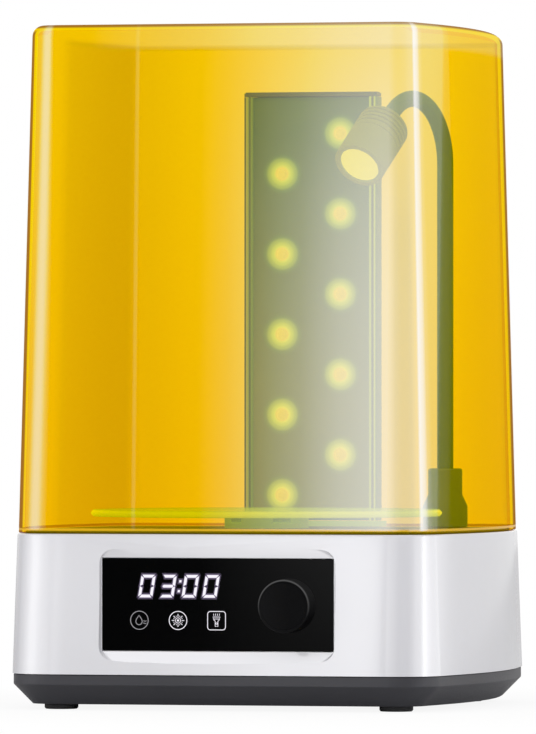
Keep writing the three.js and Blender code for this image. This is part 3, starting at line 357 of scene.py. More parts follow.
# What leans on the hood, the painted side reflection, left highlight and rear glint: the height where each
# stands in its place, and how far it moves per metre above that
SIDE_LEAN, LEFT_HIGHLIGHT_LEAN, REAR_GLINT_LEAN = (0.228, -0.1), (0.214, -38), (0.372, -0.003)

# Painted reflection: shares of the hood that mirror the studio, by height or place in metres, or by degrees
# round the corner, laid on as the window's reflection, highlights, a top reflection and a rear glint
WINDOW_BY_HEIGHT = [(0.097, 1.0), (0.225, 0.94), (0.280, 0.84), (0.335, 0.62), (0.360, 0.50), (0.377, 0.46)]
WINDOW_ACROSS = [
    (-0.012, 0.0), (-0.005, 0.012), (0.0035, 0.035), (0.012, 0.07), (0.023, 0.12), (0.034, 0.18),
    (0.0457, 0.245), (0.057, 0.345), (0.068, 0.43), (0.0795, 0.49), (0.0907, 0.55), (0.0955, 0.55),
]
WINDOW_ROUND_CORNER = [
    (0.0, 0.97), (4, 0.90), (8, 0.80), (12, 0.70), (17, 0.62), (22, 0.58), (30, 0.585), (38, 0.65),
    (44, 0.66), (60, 0.50), (70, 0.38), (78, 0.27), (78.5, 0.22), (79, 0.13), (79.5, 0.09), (80.2, 0.05),
    (81, 0.015), (82, 0.0),
]
WINDOW_ON_SIDE = [
    (-0.102, 0.16), (-0.083, 0.14), (-0.0805, 0.06), (-0.077, 0.035), (-0.068, 0.02), (-0.062, 0.0),
]
CORNER_HIGHLIGHT = [
    (41, 0.0), (44, 0.12), (47, 0.42), (49, 0.70), (53, 0.62), (57, 0.50), (60, 0.34), (63, 0.14),
    (67, 0.0),
]
LEFT_HIGHLIGHT = [
    (0, 0.0), (3, 0.02), (7, 0.06), (10, 0.13), (13, 0.26), (16, 0.33), (20, 0.34), (24, 0.31), (28, 0.19),
    (31, 0.08), (34, 0.03), (50, 0.0),
]
TOP_REFLECTION = [
    (-0.075, 0.0), (-0.045, 0.035), (0.0, 0.09), (0.023, 0.125), (0.10, 0.125), (0.118, 0.075),
    (0.128, 0.03),
]
REAR_GLINT = [(-0.0485, 0.0), (-0.0475, 0.035), (-0.0465, 0.035), (-0.0455, 0.0)]
# Painted shade in the bend of the near corner: its share by degrees round the corner
BEND_SHADE_SHARE = [(2, 0.0), (12, 1.0), (36, 1.0), (43, 0.0)]

# Shares of the far corners' shade: along the side walls, round the bend by the normal, and across the back
FAR_ALONG = [
    (-0.02, 0.0), (0.002, 0.12), (0.010, 0.46), (0.018, 0.6), (0.050, 0.8), (0.080, 0.95), (0.098, 1.0),
]
FAR_ROUND_CORNER = [(0.0, 0.36), (0.36, 0.4), (0.49, 0.42), (0.64, 0.7), (0.77, 1.0), (1.0, 1.0)]
FAR_ACROSS = [(0.063, 0.0), (0.075, 0.28), (0.087, 0.63), (0.098, 1.0)]


def leaning(t, value, z, lean):
    height, by = lean
    return t.plus(value, t.times(t.minus(z, height), by))


def painted_window_reflection(t, x, y, z, turn):
    """Painted reflection: the share of the near skin that mirrors the studio, laid on by place and by the
    turn of its normal in degrees.
    """
    by_height = t.curve(z, WINDOW_BY_HEIGHT)
    flat_share = t.times(t.curve(x, WINDOW_ACROSS), by_height)
    round_corner = t.times(t.curve(turn, WINDOW_ROUND_CORNER), 0.55)
    round_corner = t.times(round_corner, t.mix_value(t.spread(turn, 10, 60), by_height, 1.0))
    on_side = t.curve(leaning(t, y, z, SIDE_LEAN), WINDOW_ON_SIDE)
    round_corner = t.mix_value(t.spread(turn, 66, 77), round_corner, on_side)
    is_corner = t.spread(turn, 0.0, 1.5)
    window = t.plus(t.times(flat_share, t.minus(1.0, is_corner)), t.times(round_corner, is_corner))
    # painted highlight down the near right corner, by the turn of the normal
    corner_highlight = t.curve(turn, CORNER_HIGHLIGHT)
    window = t.math("MAXIMUM", window, t.plus(t.times(window, 0.4), corner_highlight))
    # painted highlight down the left corner, leaning with height
    to_left = t.times(leaning(t, turn, z, LEFT_HIGHLIGHT_LEAN), -1)
    left = t.times(t.curve(to_left, LEFT_HIGHLIGHT), t.fall(turn, -8, 0))
    painted_mirror_share = t.times(t.plus(window, left), t.math("LESS_THAN", y, WINDOW_Y))
    # painted reflection along the top band of the hood
    painted_mirror_share = t.plus(painted_mirror_share, t.times(t.curve(x, TOP_REFLECTION), t.spread(z, *TOP_REFLECTION_START)))
    # painted glint line on the front skin where the rear left corner shows through
    rear_glint = t.curve(leaning(t, x, z, REAR_GLINT_LEAN), REAR_GLINT)
    painted_mirror_share = t.plus(painted_mirror_share, t.times(rear_glint, t.math("LESS_THAN", y, REAR_GLINT_Y)))
    return t.times(t.math("MINIMUM", painted_mirror_share, MOST_MIRROR), t.between(z, *WALL_BAND, 0.3))


def far_shade(t, x, y, normal, behind):
    """How far the walls on the far side are shaded: most in the rear corners."""
    away = t.math("ABSOLUTE", x)
    across_normal, _, up = t.axes(normal)
    along = t.mix_value(t.math("GREATER_THAN", away, SIDE_WALL_X), 1.0, t.curve(y, FAR_ALONG))
    round_corner = t.curve(t.math("ABSOLUTE", across_normal), FAR_ROUND_CORNER)
    upright = t.math("SUBTRACT", 1.0, t.math("ABSOLUTE", up), clamp=True)
    shade = t.times(along, round_corner, t.curve(away, FAR_ACROSS))
    return t.times(shade, behind, t.spread(upright, 0.3, 0.8))


def outer_skin(t, tint, place, normal, near_side):
    """Adds the dark lines where the skin is seen edge on and painted shade in the near bend and on the left
    half, and tells the painted share that mirrors the window.
    """
    x, y, z = place
    right, front, up = t.axes(normal)
    layer = t.add("LayerWeight")
    facing = t.fill(layer, {"Blend": 0.5})["Facing"]
    near_x = t.spread(t.math("ABSOLUTE", x), *CORNER_X)
    near_y = t.spread(t.math("ABSOLUTE", y), *CORNER_Y)
    open_corner = t.times(t.math("GREATER_THAN", x, 0), t.math("LESS_THAN", y, 0))
    corner = t.times(near_x, near_y, t.minus(1.0, open_corner))
    low = t.mix_value(corner, EDGE_WALL, EDGE_CORNER)
    edge = t.spread(facing, low, t.plus(low, t.mix_value(corner, 0.03, 0.08)), 0.0, 0.9, smooth=True)
    line = t.times(t.spread(up, 0.64, 0.80, 0.0, 0.9), t.math("LESS_THAN", up, 0.9995))
    line = t.times(line, t.spread(facing, 0.2, 0.3))
    edge = t.math("MAXIMUM", t.times(edge, t.fall(up, 0.3, 0.62)), line)
    limit = t.mix_value(t.spread(z, *CROWN), t.mix_value(corner, SINGLE_WALL, SINGLE_CORNER), SINGLE_CROWN)
    single = t.math("GREATER_THAN", facing, limit)
    tint = t.mix(t.times(single, near_side), tint, t.vector("MULTIPLY", tint, tint))
    rim = t.math("MAXIMUM", t.times(edge, near_side), t.spread(z, *RIM_START, 0.0, 0.6))
    tint = t.mix(rim, tint, EDGE_BROWN)
    turn = t.compass(right, t.times(front, -1))
    window = t.times(painted_window_reflection(t, x, y, z, turn), near_side)
    # colour shift under the painted window reflection
    tint = t.shaded(tint, t.spread(window, 0.0, 0.16), WINDOW_REFLECTION_TINT)
    # painted shade in the bend of the near corner, then on the left half
    dim = t.times(t.curve(turn, BEND_SHADE_SHARE), t.spread(z, *BEND_SHADE_START), near_side)
    tint = t.shaded(tint, dim, BEND_SHADE_COLOUR)
    tint = t.shaded(tint, t.times(t.fall(x, -0.03, 0.03), near_side), LEFT_SHADE_COLOUR)
    return tint, window


def amber(name, outside):
    """Dyed clear acrylic. Each skin tints what shines through and mirrors a little, with painted shade on
    the far corners and painted reflections, highlights and glints laid on by place.
    """
    t = Tree(name)
    x, y, z = t.axes()
    y = t.minus(y, MID_Y * MM)
    geometry = t.add("NewGeometry").outputs
    normal = geometry["Normal"]
    behind = geometry["Backfacing"] if outside else t.minus(1.0, geometry["Backfacing"])
    streak = t.spread(t.noise(3, 2, stretch=(1, 1, 0.2)), 0.35, 0.65, 0.992, 1.0)
    tint = t.scaled(t.mix(t.spread(z, 0.1, 0.377), AMBER_LOW, AMBER_TOP), streak)
    # painted shade on the far walls, most in the rear corners
    tint = t.shaded(tint, far_shade(t, x, y, normal, behind), FAR_SHADE)
    seam = t.times(t.between(z, *SEAM_BAND), behind, t.spread(y, 0.0, 0.05))
    tint = t.mix(t.times(seam, 0.5), tint, toned(AMBER_TOP, 0.86))
    if outside:
        tint, window = outer_skin(t, tint, (x, y, z), normal, t.minus(1.0, behind))
        solid = t.spread(t.between(z, *FOOT_BAND), 0.0, 1.0, 0.02, 0.75)
        share = t.math("MAXIMUM", window, LEAST_MIRROR)
    else:
        # painted glint down the rear left corner's inner skin
        across_normal = t.math("ABSOLUTE", t.axes(normal)[0])
        glint = t.times(t.math("COMPARE", across_normal, 0.37, 0.05), behind)
        glint = t.times(glint, t.spread(y, 0.09, 0.1), t.math("LESS_THAN", x, 0))
        solid = 0.01
        share = t.plus(t.times(glint, 0.035), LEAST_MIRROR)
    clear = t.shader("BsdfTransparent", Color=tint)
    body = t.principled(Base_Color=linear(246, 192, 30), Roughness=0.25, Specular_IOR_Level=0.1)
    mirror = t.shader("BsdfGlossy", Color=WHITE, Roughness=0.04)
    return t.finish(t.blend(share, t.blend(solid, clear, body), mirror))


def white_shell():
    """Glossy cool-white ABS."""
    t = Tree("gloss_white")
    fine = t.noise(700, 2, 0.6)
    return t.surface(
        Base_Color=t.mix(t.vary(t.noise(9, 2)), linear(213, 213, 218), linear(217, 217, 222)),
        Roughness=t.vary(fine, 0.09, 0.13),
        Specular_IOR_Level=0.5,
        Coat_Weight=0.2,
        Coat_Roughness=0.05,
        Normal=t.bump(fine, 0.012, 0.0003),
    )


# Painted light and shade down the tower's left and right edges: start and end as shares of the edge's width,
# and colour
EDGE_IN, EDGE_OUT = 0.0339, 0.0392
LEFT_EDGE_SHADING = [
    (0.0, 0.26, (0.02, 0.03, 0.0)), (0.29, 0.42, (0.36, 0.34, 0.02)), (0.46, 0.56, (0.20, 0.26, 0.01)),
    (0.59, 0.76, (0.02, 0.03, 0.0)), (0.80, 1.0, (0.12, 0.20, 0.02)),
]
RIGHT_EDGE_SHADING = [
    (0.0, 0.32, (0.36, 0.44, 0.03)), (0.35, 0.57, (0.05, 0.06, 0.0)), (0.61, 0.75, (0.42, 0.50, 0.2)),
    (0.79, 1.0, (0.10, 0.14, 0.03)),
]
# Painted halos of the LEDs' light on the board: their reach in metres, rim and glow towards the core, and a
# painted glow low down
HALO_NEAR, HALO_FAR = 0.0030, 0.0120
HALO_RIM = (0.02, 0.05, 0.0)
HALO = [
    (0.45, (0.26, 0.37, 0.03)), (0.68, (0.47, 0.56, 0.06)), (0.85, (0.66, 0.66, 0.10)),
    (1.0, (0.74, 0.69, 0.13)),
]
LOW_GLOW = (0.12, 0.075, 0.0)


def painted_edge_shading(t, share, rows):
    return t.ramp(share, [(where, colour) for low, high, colour in rows for where in (low, high)])


def painted_light_board(name, colour, glow, spots=(), edge_shaded=False):
    """A piece with the lights' green painted on as glow. Each spot paints a core and a yellow halo of light
    round it, and strips of painted light and shade can run down its edges.
    """
    t = Tree(name)
    place = t.place()
    fine = t.noise(500, 3)
    emission = glow
    # painted pools of light round the nearest LED, and a painted glow low down
    if spots:
        near = t.vector("DISTANCE", place, spots[0])
        for spot in spots[1:]:
            near = t.math("MINIMUM", near, t.vector("DISTANCE", place, spot))
        rim = tuple(g + more for g, more in zip(glow, HALO_RIM))
        halo = t.ramp(t.fall(near, HALO_NEAR, HALO_FAR), [(0.0, glow), (0.2, rim)] + HALO, "EASE")
        low_down = t.spread(t.axes(place)[2], 0.32, 0.17)
        emission = t.vector("ADD", halo, t.mix(low_down, BLACK, LOW_GLOW))
    if edge_shaded:
        # painted light and shade strips down the tower's edges, as glow
        x = t.axes(place)[0]
        left = painted_edge_shading(t, t.spread(x, -EDGE_OUT, -EDGE_IN), LEFT_EDGE_SHADING)
        right = painted_edge_shading(t, t.spread(x, EDGE_IN, EDGE_OUT), RIGHT_EDGE_SHADING)
        strips = t.mix(t.math("GREATER_THAN", x, 0), left, right)
        emission = t.mix(t.spread(t.math("ABSOLUTE", x), EDGE_IN, EDGE_IN + 0.0001), glow, strips)
    return t.surface(
        Base_Color=t.mix(t.vary(fine), toned(colour, 0.92), colour),
        Roughness=t.vary(fine, 0.42, 0.5),
        Specular_IOR_Level=0.04,
        Emission_Color=emission,
        Emission_Strength=1.0,
        Normal=t.bump(fine, 0.05, 0.0002),
    )


def glowing(name, colour, base):
    """A piece that gives its own light, or a sheet of painted glow, over a dark base."""
    t = Tree(name)
    fine = t.noise(400, 2)
    return t.surface(
        Base_Color=base,
        Roughness=t.vary(fine, 0.2, 0.26),
        Emission_Color=t.mix(t.spread(fine, 0.2, 0.8), toned(colour, 0.94), colour),
        Emission_Strength=1.0,
    )


def table_acrylic():
    """Clear green-tinted acrylic disc, with green light painted on as glow, brightest along its rim."""
    t = Tree("clear_acrylic")
    middle = mid("turntable")
    x, y, _ = t.axes()
    radius = t.radius(t.minus(x, middle.x), t.minus(y, middle.y))
    # painted glow, brightest along the rim
    rim = t.spread(radius, 0.0955, 0.0975, 0.0, 1.0, smooth=True)
    clear = t.shader("BsdfTransparent", Color=(0.86, 0.93, 0.62))
    body = t.principled(
        Base_Color=linear(112, 134, 66),
        Roughness=t.vary(t.noise(240, 3), 0.12, 0.2),
        Specular_IOR_Level=0.2,
        Emission_Color=t.mix(rim, (0.12, 0.19, 0.02), (0.56, 0.66, 0.07)),
        Emission_Strength=1.0,
    )
    return t.finish(t.blend(t.spread(rim, 0, 1, 0.45, 0.9), clear, body))


def knob_plastic():
    """Satin black, with a thin ring of painted light on the turned edges of the cap."""
    t = Tree("knob_black")
    low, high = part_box("control_knob")
    middle, outer = (low + high) / 2, (high.x - low.x) / 2
    x, _, z = t.axes()
    dx, dz = t.minus(x, middle.x), t.minus(z, middle.z)
    # painted ring of light on the turned edges, brighter towards the top, and a faint painted glow to the
    # left
    rows = [(-0.0014, 0.0), (-0.0010, 0.08), (-0.0007, 0.08), (-0.0003, 0.010), (0, 0.010)]
    painted_rim_light = t.curve(t.radius(dx, dz), [(outer + inwards, level) for inwards, level in rows])
    painted_rim_light = t.times(painted_rim_light, t.spread(dz, -0.006, 0.008, 0.06, 1.0))
    painted_rim_light = t.plus(painted_rim_light, t.spread(dx, -0.013, 0.002, 0.003, 0.0))
    fine = t.noise(1300, 3)
    return t.surface(
        Base_Color=t.mix(t.vary(fine), linear(9, 9, 10), linear(12, 12, 13)),
        Roughness=t.vary(fine, 0.32, 0.4),
        Specular_IOR_Level=0.010,
        Normal=t.bump(fine, 0.06, 0.0003),
        Emission_Color=t.mix(painted_rim_light, BLACK, WHITE),
        Emission_Strength=1.0,
    )


def panel_gloss():
    """Gloss black, with a faint painted sheen of the light of the window in front towards its upper right.
    """
    t = Tree("panel_black")
    x, _, z = t.axes()
    fine = t.noise(300, 3)
    # painted sheen of the window's light, growing to the upper right
    sheen = t.times(t.spread(x, -0.01, 0.062, 0.0, 0.009), t.spread(z, 0.030, 0.082, 0.35, 1.0))
    return t.surface(
        Base_Color=t.mix(t.vary(fine), (0.0007, 0.0008, 0.0009), (0.0009, 0.0010, 0.0011)),
        Roughness=t.vary(fine, 0.07, 0.09),
        Specular_IOR_Level=0.006,
        Normal=t.bump(fine, 0.002, 0.0003),
        Emission_Color=t.mix(sheen, BLACK, WHITE),
        Emission_Strength=1.0,
    )


LIGHTS = [mid(f"uv_led_{i}") for i in range(1, 11)]
# The tower's colour and its painted green glow
TOWER = ((0.10, 0.17, 0.11), (0.02, 0.07, 0.01))

# Plastics: colour, roughness, scale and depth of the grain, and specular level
PLASTICS = {
    "dark_plastic": (linear(63, 63, 67), 0.42, 1100, 0.12, 0.12),
    "black_rubber": (linear(76, 76, 77), 0.78, 700, 0.25, 0.2),
    # the deck's and the tower cap's colours are greened by painted light of the lamps inside
    "deck_grey": (linear(120, 142, 80), 0.4, 900, 0.1, 0.2),
    "black_plastic": (linear(20, 20, 22), 0.5, 900, 0.12, 0.5),
    "tower_dark": (linear(98, 122, 84), 0.42, 900, 0.1, 0.2),
}

# Pieces with the lights' green painted on: colour and painted glow
PAINTED_LIGHT = {
    "hub_grey": ((0.18, 0.28, 0.13), (0.18, 0.27, 0.03)),
    "foot_grey": ((0.26, 0.38, 0.16), (0.22, 0.34, 0.04)),
    "socket_grey": ((0.12, 0.20, 0.08), (0.08, 0.12, 0.0)),
    "neck_grey": ((0.10, 0.19, 0.08), (0.055, 0.095, 0.0)),
    "lamp_grey": ((0.18, 0.28, 0.15), (0.13, 0.13, 0.0)),
}

# Lenses, digits, and the painted glow of the digits' halos: glow and the colour beneath it
GLOWING = {
    "glow_near": ((0.12, 0.085, 0.17), (0.01, 0.01, 0.01)),
    "glow_far": ((0.032, 0.021, 0.052), (0.006, 0.006, 0.007)),
    "glyph": ((0.95, 0.92, 1.0), (0.02, 0.02, 0.02)),
    "glyph_dim": ((0.36, 0.35, 0.38), (0.02, 0.02, 0.02)),
    "led_lens": ((0.82, 0.68, 0.15), (0.08, 0.08, 0.05)),
    "lamp_glass": ((0.84, 0.77, 0.17), (0.15, 0.16, 0.1)),
}

M = {name: plastic(name, *look) for name, look in PLASTICS.items()}
M |= {name: painted_light_board(name, *look) for name, look in PAINTED_LIGHT.items()}
M |= {name: glowing(name, *look) for name, look in GLOWING.items()}
M |= {
    "gloss_white": white_shell(),
    "panel_black": panel_gloss(),
    "knob_black": knob_plastic(),
    "board_green": circuit("board_green", linear(22, 84, 46), linear(52, 120, 70)),
    "steel": metal("steel", (0.56, 0.57, 0.58), 0.28, (1, 1, 40), 60),
    "zinc": metal("zinc", (0.50, 0.51, 0.53), 0.36, (1, 1, 1), 400),
    "tower_grey": painted_light_board("tower_grey", *TOWER, edge_shaded=True),
    "board_dark": painted_light_board("board_dark", *TOWER, spots=LIGHTS),
    "clear_acrylic": table_acrylic(),
    "amber_acrylic": amber("amber_acrylic", True),
    "amber_inside": amber("amber_inside", False),
}


# Dressing of the CAD nodes
def smoothing_group():
    """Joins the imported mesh's split corners and shades it smooth below a crease angle."""
    group = bpy.data.node_groups.new("smooth_by_angle", "GeometryNodeTree")
    group.interface.new_socket("Geometry", in_out="INPUT", socket_type="NodeSocketGeometry")
    group.interface.new_socket("Angle", in_out="INPUT", socket_type="NodeSocketFloat")
    group.interface.new_socket("Geometry", in_out="OUTPUT", socket_type="NodeSocketGeometry")
    n, link = group.nodes, group.links
    source = n.new("NodeGroupInput")
    result = n.new("NodeGroupOutput")
    drop = n.new("GeometryNodeRemoveAttribute")
    drop.inputs["Name"].default_value = "custom_normal"
    join = n.new("GeometryNodeMergeByDistance")
    join.inputs["Distance"].default_value = 0.00001
    faces = n.new("GeometryNodeSetShadeSmooth")
    faces.domain = "FACE"
    edges = n.new("GeometryNodeSetShadeSmooth")
    edges.domain = "EDGE"
    angle = n.new("GeometryNodeInputMeshEdgeAngle")
    compare = n.new("FunctionNodeCompare")
    compare.operation = "LESS_EQUAL"
    line = (source, drop, join, faces, edges, result)
    for before, after in zip(line, line[1:]):
        link.new(before.outputs["Geometry"], after.inputs["Geometry"])
    link.new(angle.outputs["Unsigned Angle"], compare.inputs[0])
    link.new(source.outputs["Angle"], compare.inputs[1])
    link.new(compare.outputs[0], edges.inputs["Shade Smooth"])
    return group


SMOOTHING = smoothing_group()


def soften(obj, crease, bevel=0.0):
    if "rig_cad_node" in obj:
        modifier = obj.modifiers.new("smooth", "NODES")
        modifier.node_group = SMOOTHING
        key = [i.identifier for i in SMOOTHING.interface.items_tree if i.name == "Angle"][0]
        modifier[key] = math.radians(crease)
    if bevel:
        rounding = obj.modifiers.new("bevel", "BEVEL")
        rounding.width = bevel * MM
        rounding.segments = 2
        rounding.limit_method = "ANGLE"
        rounding.angle_limit = math.radians(crease)
        rounding.miter_outer = "MITER_ARC"
        rounding.harden_normals = True
    weighted = obj.modifiers.new("normals", "WEIGHTED_NORMAL")
    weighted.keep_sharp = True
    weighted.weight = 100


# Looks of the CAD nodes: the record's material, or one with the painted light that they show in the hood
FINISH = {row["node"]: row["material_slot"] for row in frame["record"]["subparts"]}
FINISH["tower_foot"] = "foot_grey"
FINISH["tower_cap"] = "tower_dark"
FINISH["neck_socket"] = "socket_grey"
FINISH["drive_hub"] = "hub_grey"
CREASE = {"base_housing": 19, "control_panel": 25}
BEVEL = dict.fromkeys(("bottom_shell", "deck_plate", "rubber_foot", "neck_socket"), 0.3)
BEVEL["control_panel"] = 0.15
for name, node in nodes.items():
    node.data.materials.clear()
    node.data.materials.append(M[FINISH[name]])
    soften(node, CREASE.get(name, 32), BEVEL.get(name.rstrip("_0123456789"), 0))


# Meshes that stand for CAD nodes
def build(name, points, faces, material, crease=40, body=None, stands_for=()):
    """A closed mesh from points in millimetres."""
    mesh = bpy.data.meshes.new(name)
    mesh.from_pydata([tuple(c * MM for c in p) for p in points], [], faces)
    mesh.validate()
    tidy = bmesh.new()
    tidy.from_mesh(mesh)
    bmesh.ops.remove_doubles(tidy, verts=tidy.verts, dist=1e-7)
    bmesh.ops.recalc_face_normals(tidy, faces=tidy.faces)
    for face in tidy.faces:
        face.smooth = True
    for edge in tidy.edges:
        edge.smooth = len(edge.link_faces) == 2 and edge.calc_face_angle(0) <= math.radians(crease)
    tidy.to_mesh(mesh)
    tidy.free()
    obj = new_object(name, mesh)
    mesh.materials.append(M[material])
    if body:
        soften(obj, crease)
        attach(obj, body)
    if stands_for:
        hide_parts(*stands_for)
    return obj


def arc(centre, radius, start, end, steps):
    out = []
    for i in range(steps + 1):
        a = math.radians(start + (end - start) * i / steps)
        out.append((centre[0] + radius * math.cos(a), centre[1] + radius * math.sin(a)))
    return out


def plan_ring(inset, z):
    """The casing's plan at a height, drawn in by the inset: straight front, bowed sides, round corners."""
    half_width = PLAN["width"] / 2 - inset
    half_depth = PLAN["depth"] / 2 - inset
    front = max(PLAN["front"] - inset, PLAN["least"])
    rear = max(PLAN["rear"] - inset, PLAN["least"])
    low, high = front - half_depth, half_depth - rear
    length = high - low
    bow = PLAN["bow"]
    bow_radius = (length * length / 4 + bow * bow) / (2 * bow)
    lean = math.asin(length / 2 / bow_radius)
    turn = math.degrees(lean)
    end = half_width - bow
    front_mid = (end - front * math.cos(lean), low)
    rear_mid = (end - rear * math.cos(lean), high)
    side = arc((half_width - bow_radius, (low + high) / 2), bow_radius, -turn, turn, 32)
    right = arc(front_mid, front, -90, -turn, 28) + side[1:-1] + arc(rear_mid, rear, turn, 90, 28)
    left = [(-x, y) for x, y in reversed(right)]
    return [(x, y + MID_Y, z) for x, y in right + left]


def skin(rings):
    """A closed skin over rings of equal length in order."""
    count = len(rings[0])
    points = [p for ring in rings for p in ring]
    faces = []
    for a in range(len(rings) - 1):
        b = a + 1
        for i in range(count):
            j = (i + 1) % count
            faces.append((a * count + i, a * count + j, b * count + j, b * count + i))
    faces.append(tuple(reversed(range(count))))
    faces.append(tuple((len(rings) - 1) * count + i for i in range(count)))
    return points, faces


def around(x, y, radius, steps):
    angles = [2 * math.pi * i / steps for i in range(steps)]
    return [(x + radius * math.cos(a), y + radius * math.sin(a)) for a in angles]


def turned(profile, steps):
    """A profile of (radius, height) turned about +Z. Points on the axis close it."""
    points, faces, rows = [], [], []
    for radius, height in profile:
        if radius < 1e-6:
            rows.append([len(points)])
            points.append((0, 0, height))
            continue
        rows.append(list(range(len(points), len(points) + steps)))
        points += [(x, y, height) for x, y in around(0, 0, radius, steps)]
    for a, b in zip(rows, rows[1:]):
        for i in range(steps):
            j = (i + 1) % steps
            if len(a) == 1:
                faces.append((a[0], b[j], b[i]))
            elif len(b) == 1:
                faces.append((a[i], a[j], b[0]))
            else:
                faces.append((a[i], a[j], b[j], b[i]))
    return points, faces


def moved(points, matrix):
    return [tuple(matrix @ Vector(p)) for p in points]


def hood():
    """One moulding: outer skin from the top down, round the lower rim, and up the inner skin."""
    slope = math.tan(math.radians(HOOD["draft"]))
    low, high, wall, radius = HOOD["low"], HOOD["high"], HOOD["wall"], HOOD["radius"]
    outer = HOOD["inset"]
    shoulder_z = high - radius
    shoulder = outer + (shoulder_z - low) * slope
    bend = (shoulder + radius, shoulder_z)
    foot = 0.5
    rings = [plan_ring(shoulder + radius + depth, high) for depth in (60, 20)]
    rings += [plan_ring(x, z) for x, z in reversed(arc(bend, radius, 180, 90, 10))]
    rings += [
        plan_ring(outer + foot * slope, low + foot * 3),
        plan_ring(outer, low + foot),
        plan_ring(outer + foot, low),
        plan_ring(outer + wall - foot, low),
        plan_ring(outer + wall, low + foot),
    ]
    rings += [plan_ring(x, z) for x, z in arc(bend, radius - wall, 180, 90, 8)]
    rings += [plan_ring(shoulder + radius + depth, high - wall) for depth in (20, 60)]
    points, faces = skin(rings)
    obj = build(
        "hood_shell", points, faces, "amber_acrylic",
        body="hood", stands_for=["hood"],
    )
    obj.data.materials.append(M["amber_inside"])
    middle = Vector((0, MID_Y * MM, 0))
    for face in obj.data.polygons:
        under_top = abs(face.center.z - (high - wall) * MM) < 0.004 and face.normal.z < -0.3
        inward = Vector((face.normal.x, face.normal.y, 0)).dot(face.center - middle) < -1e-6
        if under_top or inward:
            face.material_index = 1


hood()


def knob():
    low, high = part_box("control_knob")
    radius = (high.x - low.x) / 2 / MM
    length = (high.y - low.y) / MM
    centre = mid("control_knob") / MM
    profile = [
        (0, 2.2),
        (radius - 1.8, 2.2),
        (radius - 1.8, 0),
        (radius - 0.4, 0),
        (radius, 0.4),
        (radius - 0.02, 1.6),
        (radius - 0.3, length - 1.15),
        (radius - 0.36, length - 0.85),
        (radius - 0.62, length - 0.35),
        (radius - 1.05, length - 0.06),
        (radius - 1.5, length),
        (radius - 1.95, length - 0.1),
        (radius - 2.2, length - 0.35),
        (radius - 2.6, length - 0.42),
        (0, length - 0.42),
    ]
    points, faces = turned(profile, 96)
    place = Matrix.Translation((centre.x, high.y / MM, centre.z))
    points = moved(points, place @ Matrix.Rotation(math.radians(90), 4, "X"))
    obj = build(
        "knob_cap", points, faces, "knob_black", 32,
        body="knob", stands_for=["control_knob"],
    )
    obj.visible_glossy = False


knob()

# The swan neck: its foot, sleeve, heading in degrees, arch, dip past level in degrees, and tail to the lamp
ARM = {
    "x": 79.3, "y": 92 + MID_Y, "radius": 4.6, "heading": 17,
    "arch": 36, "arch_z": 304, "dip": 39.7, "tail": 2,
}
HEADING = Vector((-math.sin(math.radians(ARM["heading"])), -math.cos(math.radians(ARM["heading"])), 0))
SIDEWAYS = Vector((HEADING.y, -HEADING.x, 0))
UP = Vector((0, 0, 1))
ARCH_END = math.radians(90 + ARM["dip"])


def arm_point(along, height):
    return Vector((ARM["x"], ARM["y"], 0)) + HEADING * along + UP * height


def arm_line(stop):
    """Centre and direction of the neck at a height, at an angle of its arch in radians, or down its tail."""
    kind, value = stop
    if kind == "up":
        return arm_point(0, value), UP
    if kind == "turn":
        ahead, above = ARM["arch"] * (1 - math.cos(value)), ARM["arch"] * math.sin(value)
        return arm_point(ahead, ARM["arch_z"] + above), UP * math.cos(value) + HEADING * math.sin(value)
    end, heading = arm_line(("turn", ARCH_END))
    return end + heading * value, heading


def spaced(kind, low, high, count):
    return [(kind, low + (high - low) * i / count) for i in range(count + 1)]


def neck_piece(name, stops, stands_for):
    rings = []
    for stop in stops:
        centre, ahead = arm_line(stop)
        across = ahead.cross(SIDEWAYS)
        rings.append([
            tuple(centre + (SIDEWAYS * a + across * b) * ARM["radius"]) for a, b in around(0, 0, 1, 32)
        ])
    points, faces = skin(rings)
    obj = build(name, points, faces, "neck_grey", stands_for=stands_for)
    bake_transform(obj)


EIGHTH = math.pi / 4
TIP_TURN = math.pi / 2 * 1.22
NECK = [
    (spaced("up", 126, 181, 30), "neck_root", "neck_lower", arm_point(0, 133), arm_point(0, 150)),
    (spaced("up", 181, 263, 30), "neck_lower", "neck_upper", arm_point(0, 208), arm_point(0, 236)),
    (
        spaced("up", 263, 304, 16) + spaced("turn", 0, EIGHTH, 14)[1:],
        "neck_upper", "neck_arch", arm_point(0, 290), arm_point(0, 318),
    ),
    (spaced("turn", EIGHTH, TIP_TURN, 24), "neck_arch", "neck_tip", arm_point(28, 340), arm_point(44, 340)),
    (
        spaced("turn", TIP_TURN, ARCH_END, 12) + spaced("tail", 0, 9, 8)[1:],
        "neck_tip", "lamp", arm_line(("turn", math.radians(116)))[0], arm_line(("tail", 3))[0],
    ),
]
for number, (stops, body, next_body, start, end) in enumerate(NECK, 1):
    neck_piece(f"neck_sleeve_{number}", stops, [body])

PIVOT, AHEAD = arm_line(("tail", ARM["tail"]))
LAMP_FRAME = Matrix.Translation(PIVOT) @ AHEAD.to_track_quat("Z", "Y").to_matrix().to_4x4()
LAMP = {"radius": 14.6, "stub": 8, "sink": 25, "end": 46.1, "back": 42.9, "wall": 3, "lens": 11.4}


def lamp_piece(name, profile, steps, material, node):
    points, faces = turned(profile, steps)
    points = moved(points, LAMP_FRAME)
    build(name, points, faces, material, 30, body="lamp", stands_for=[node])


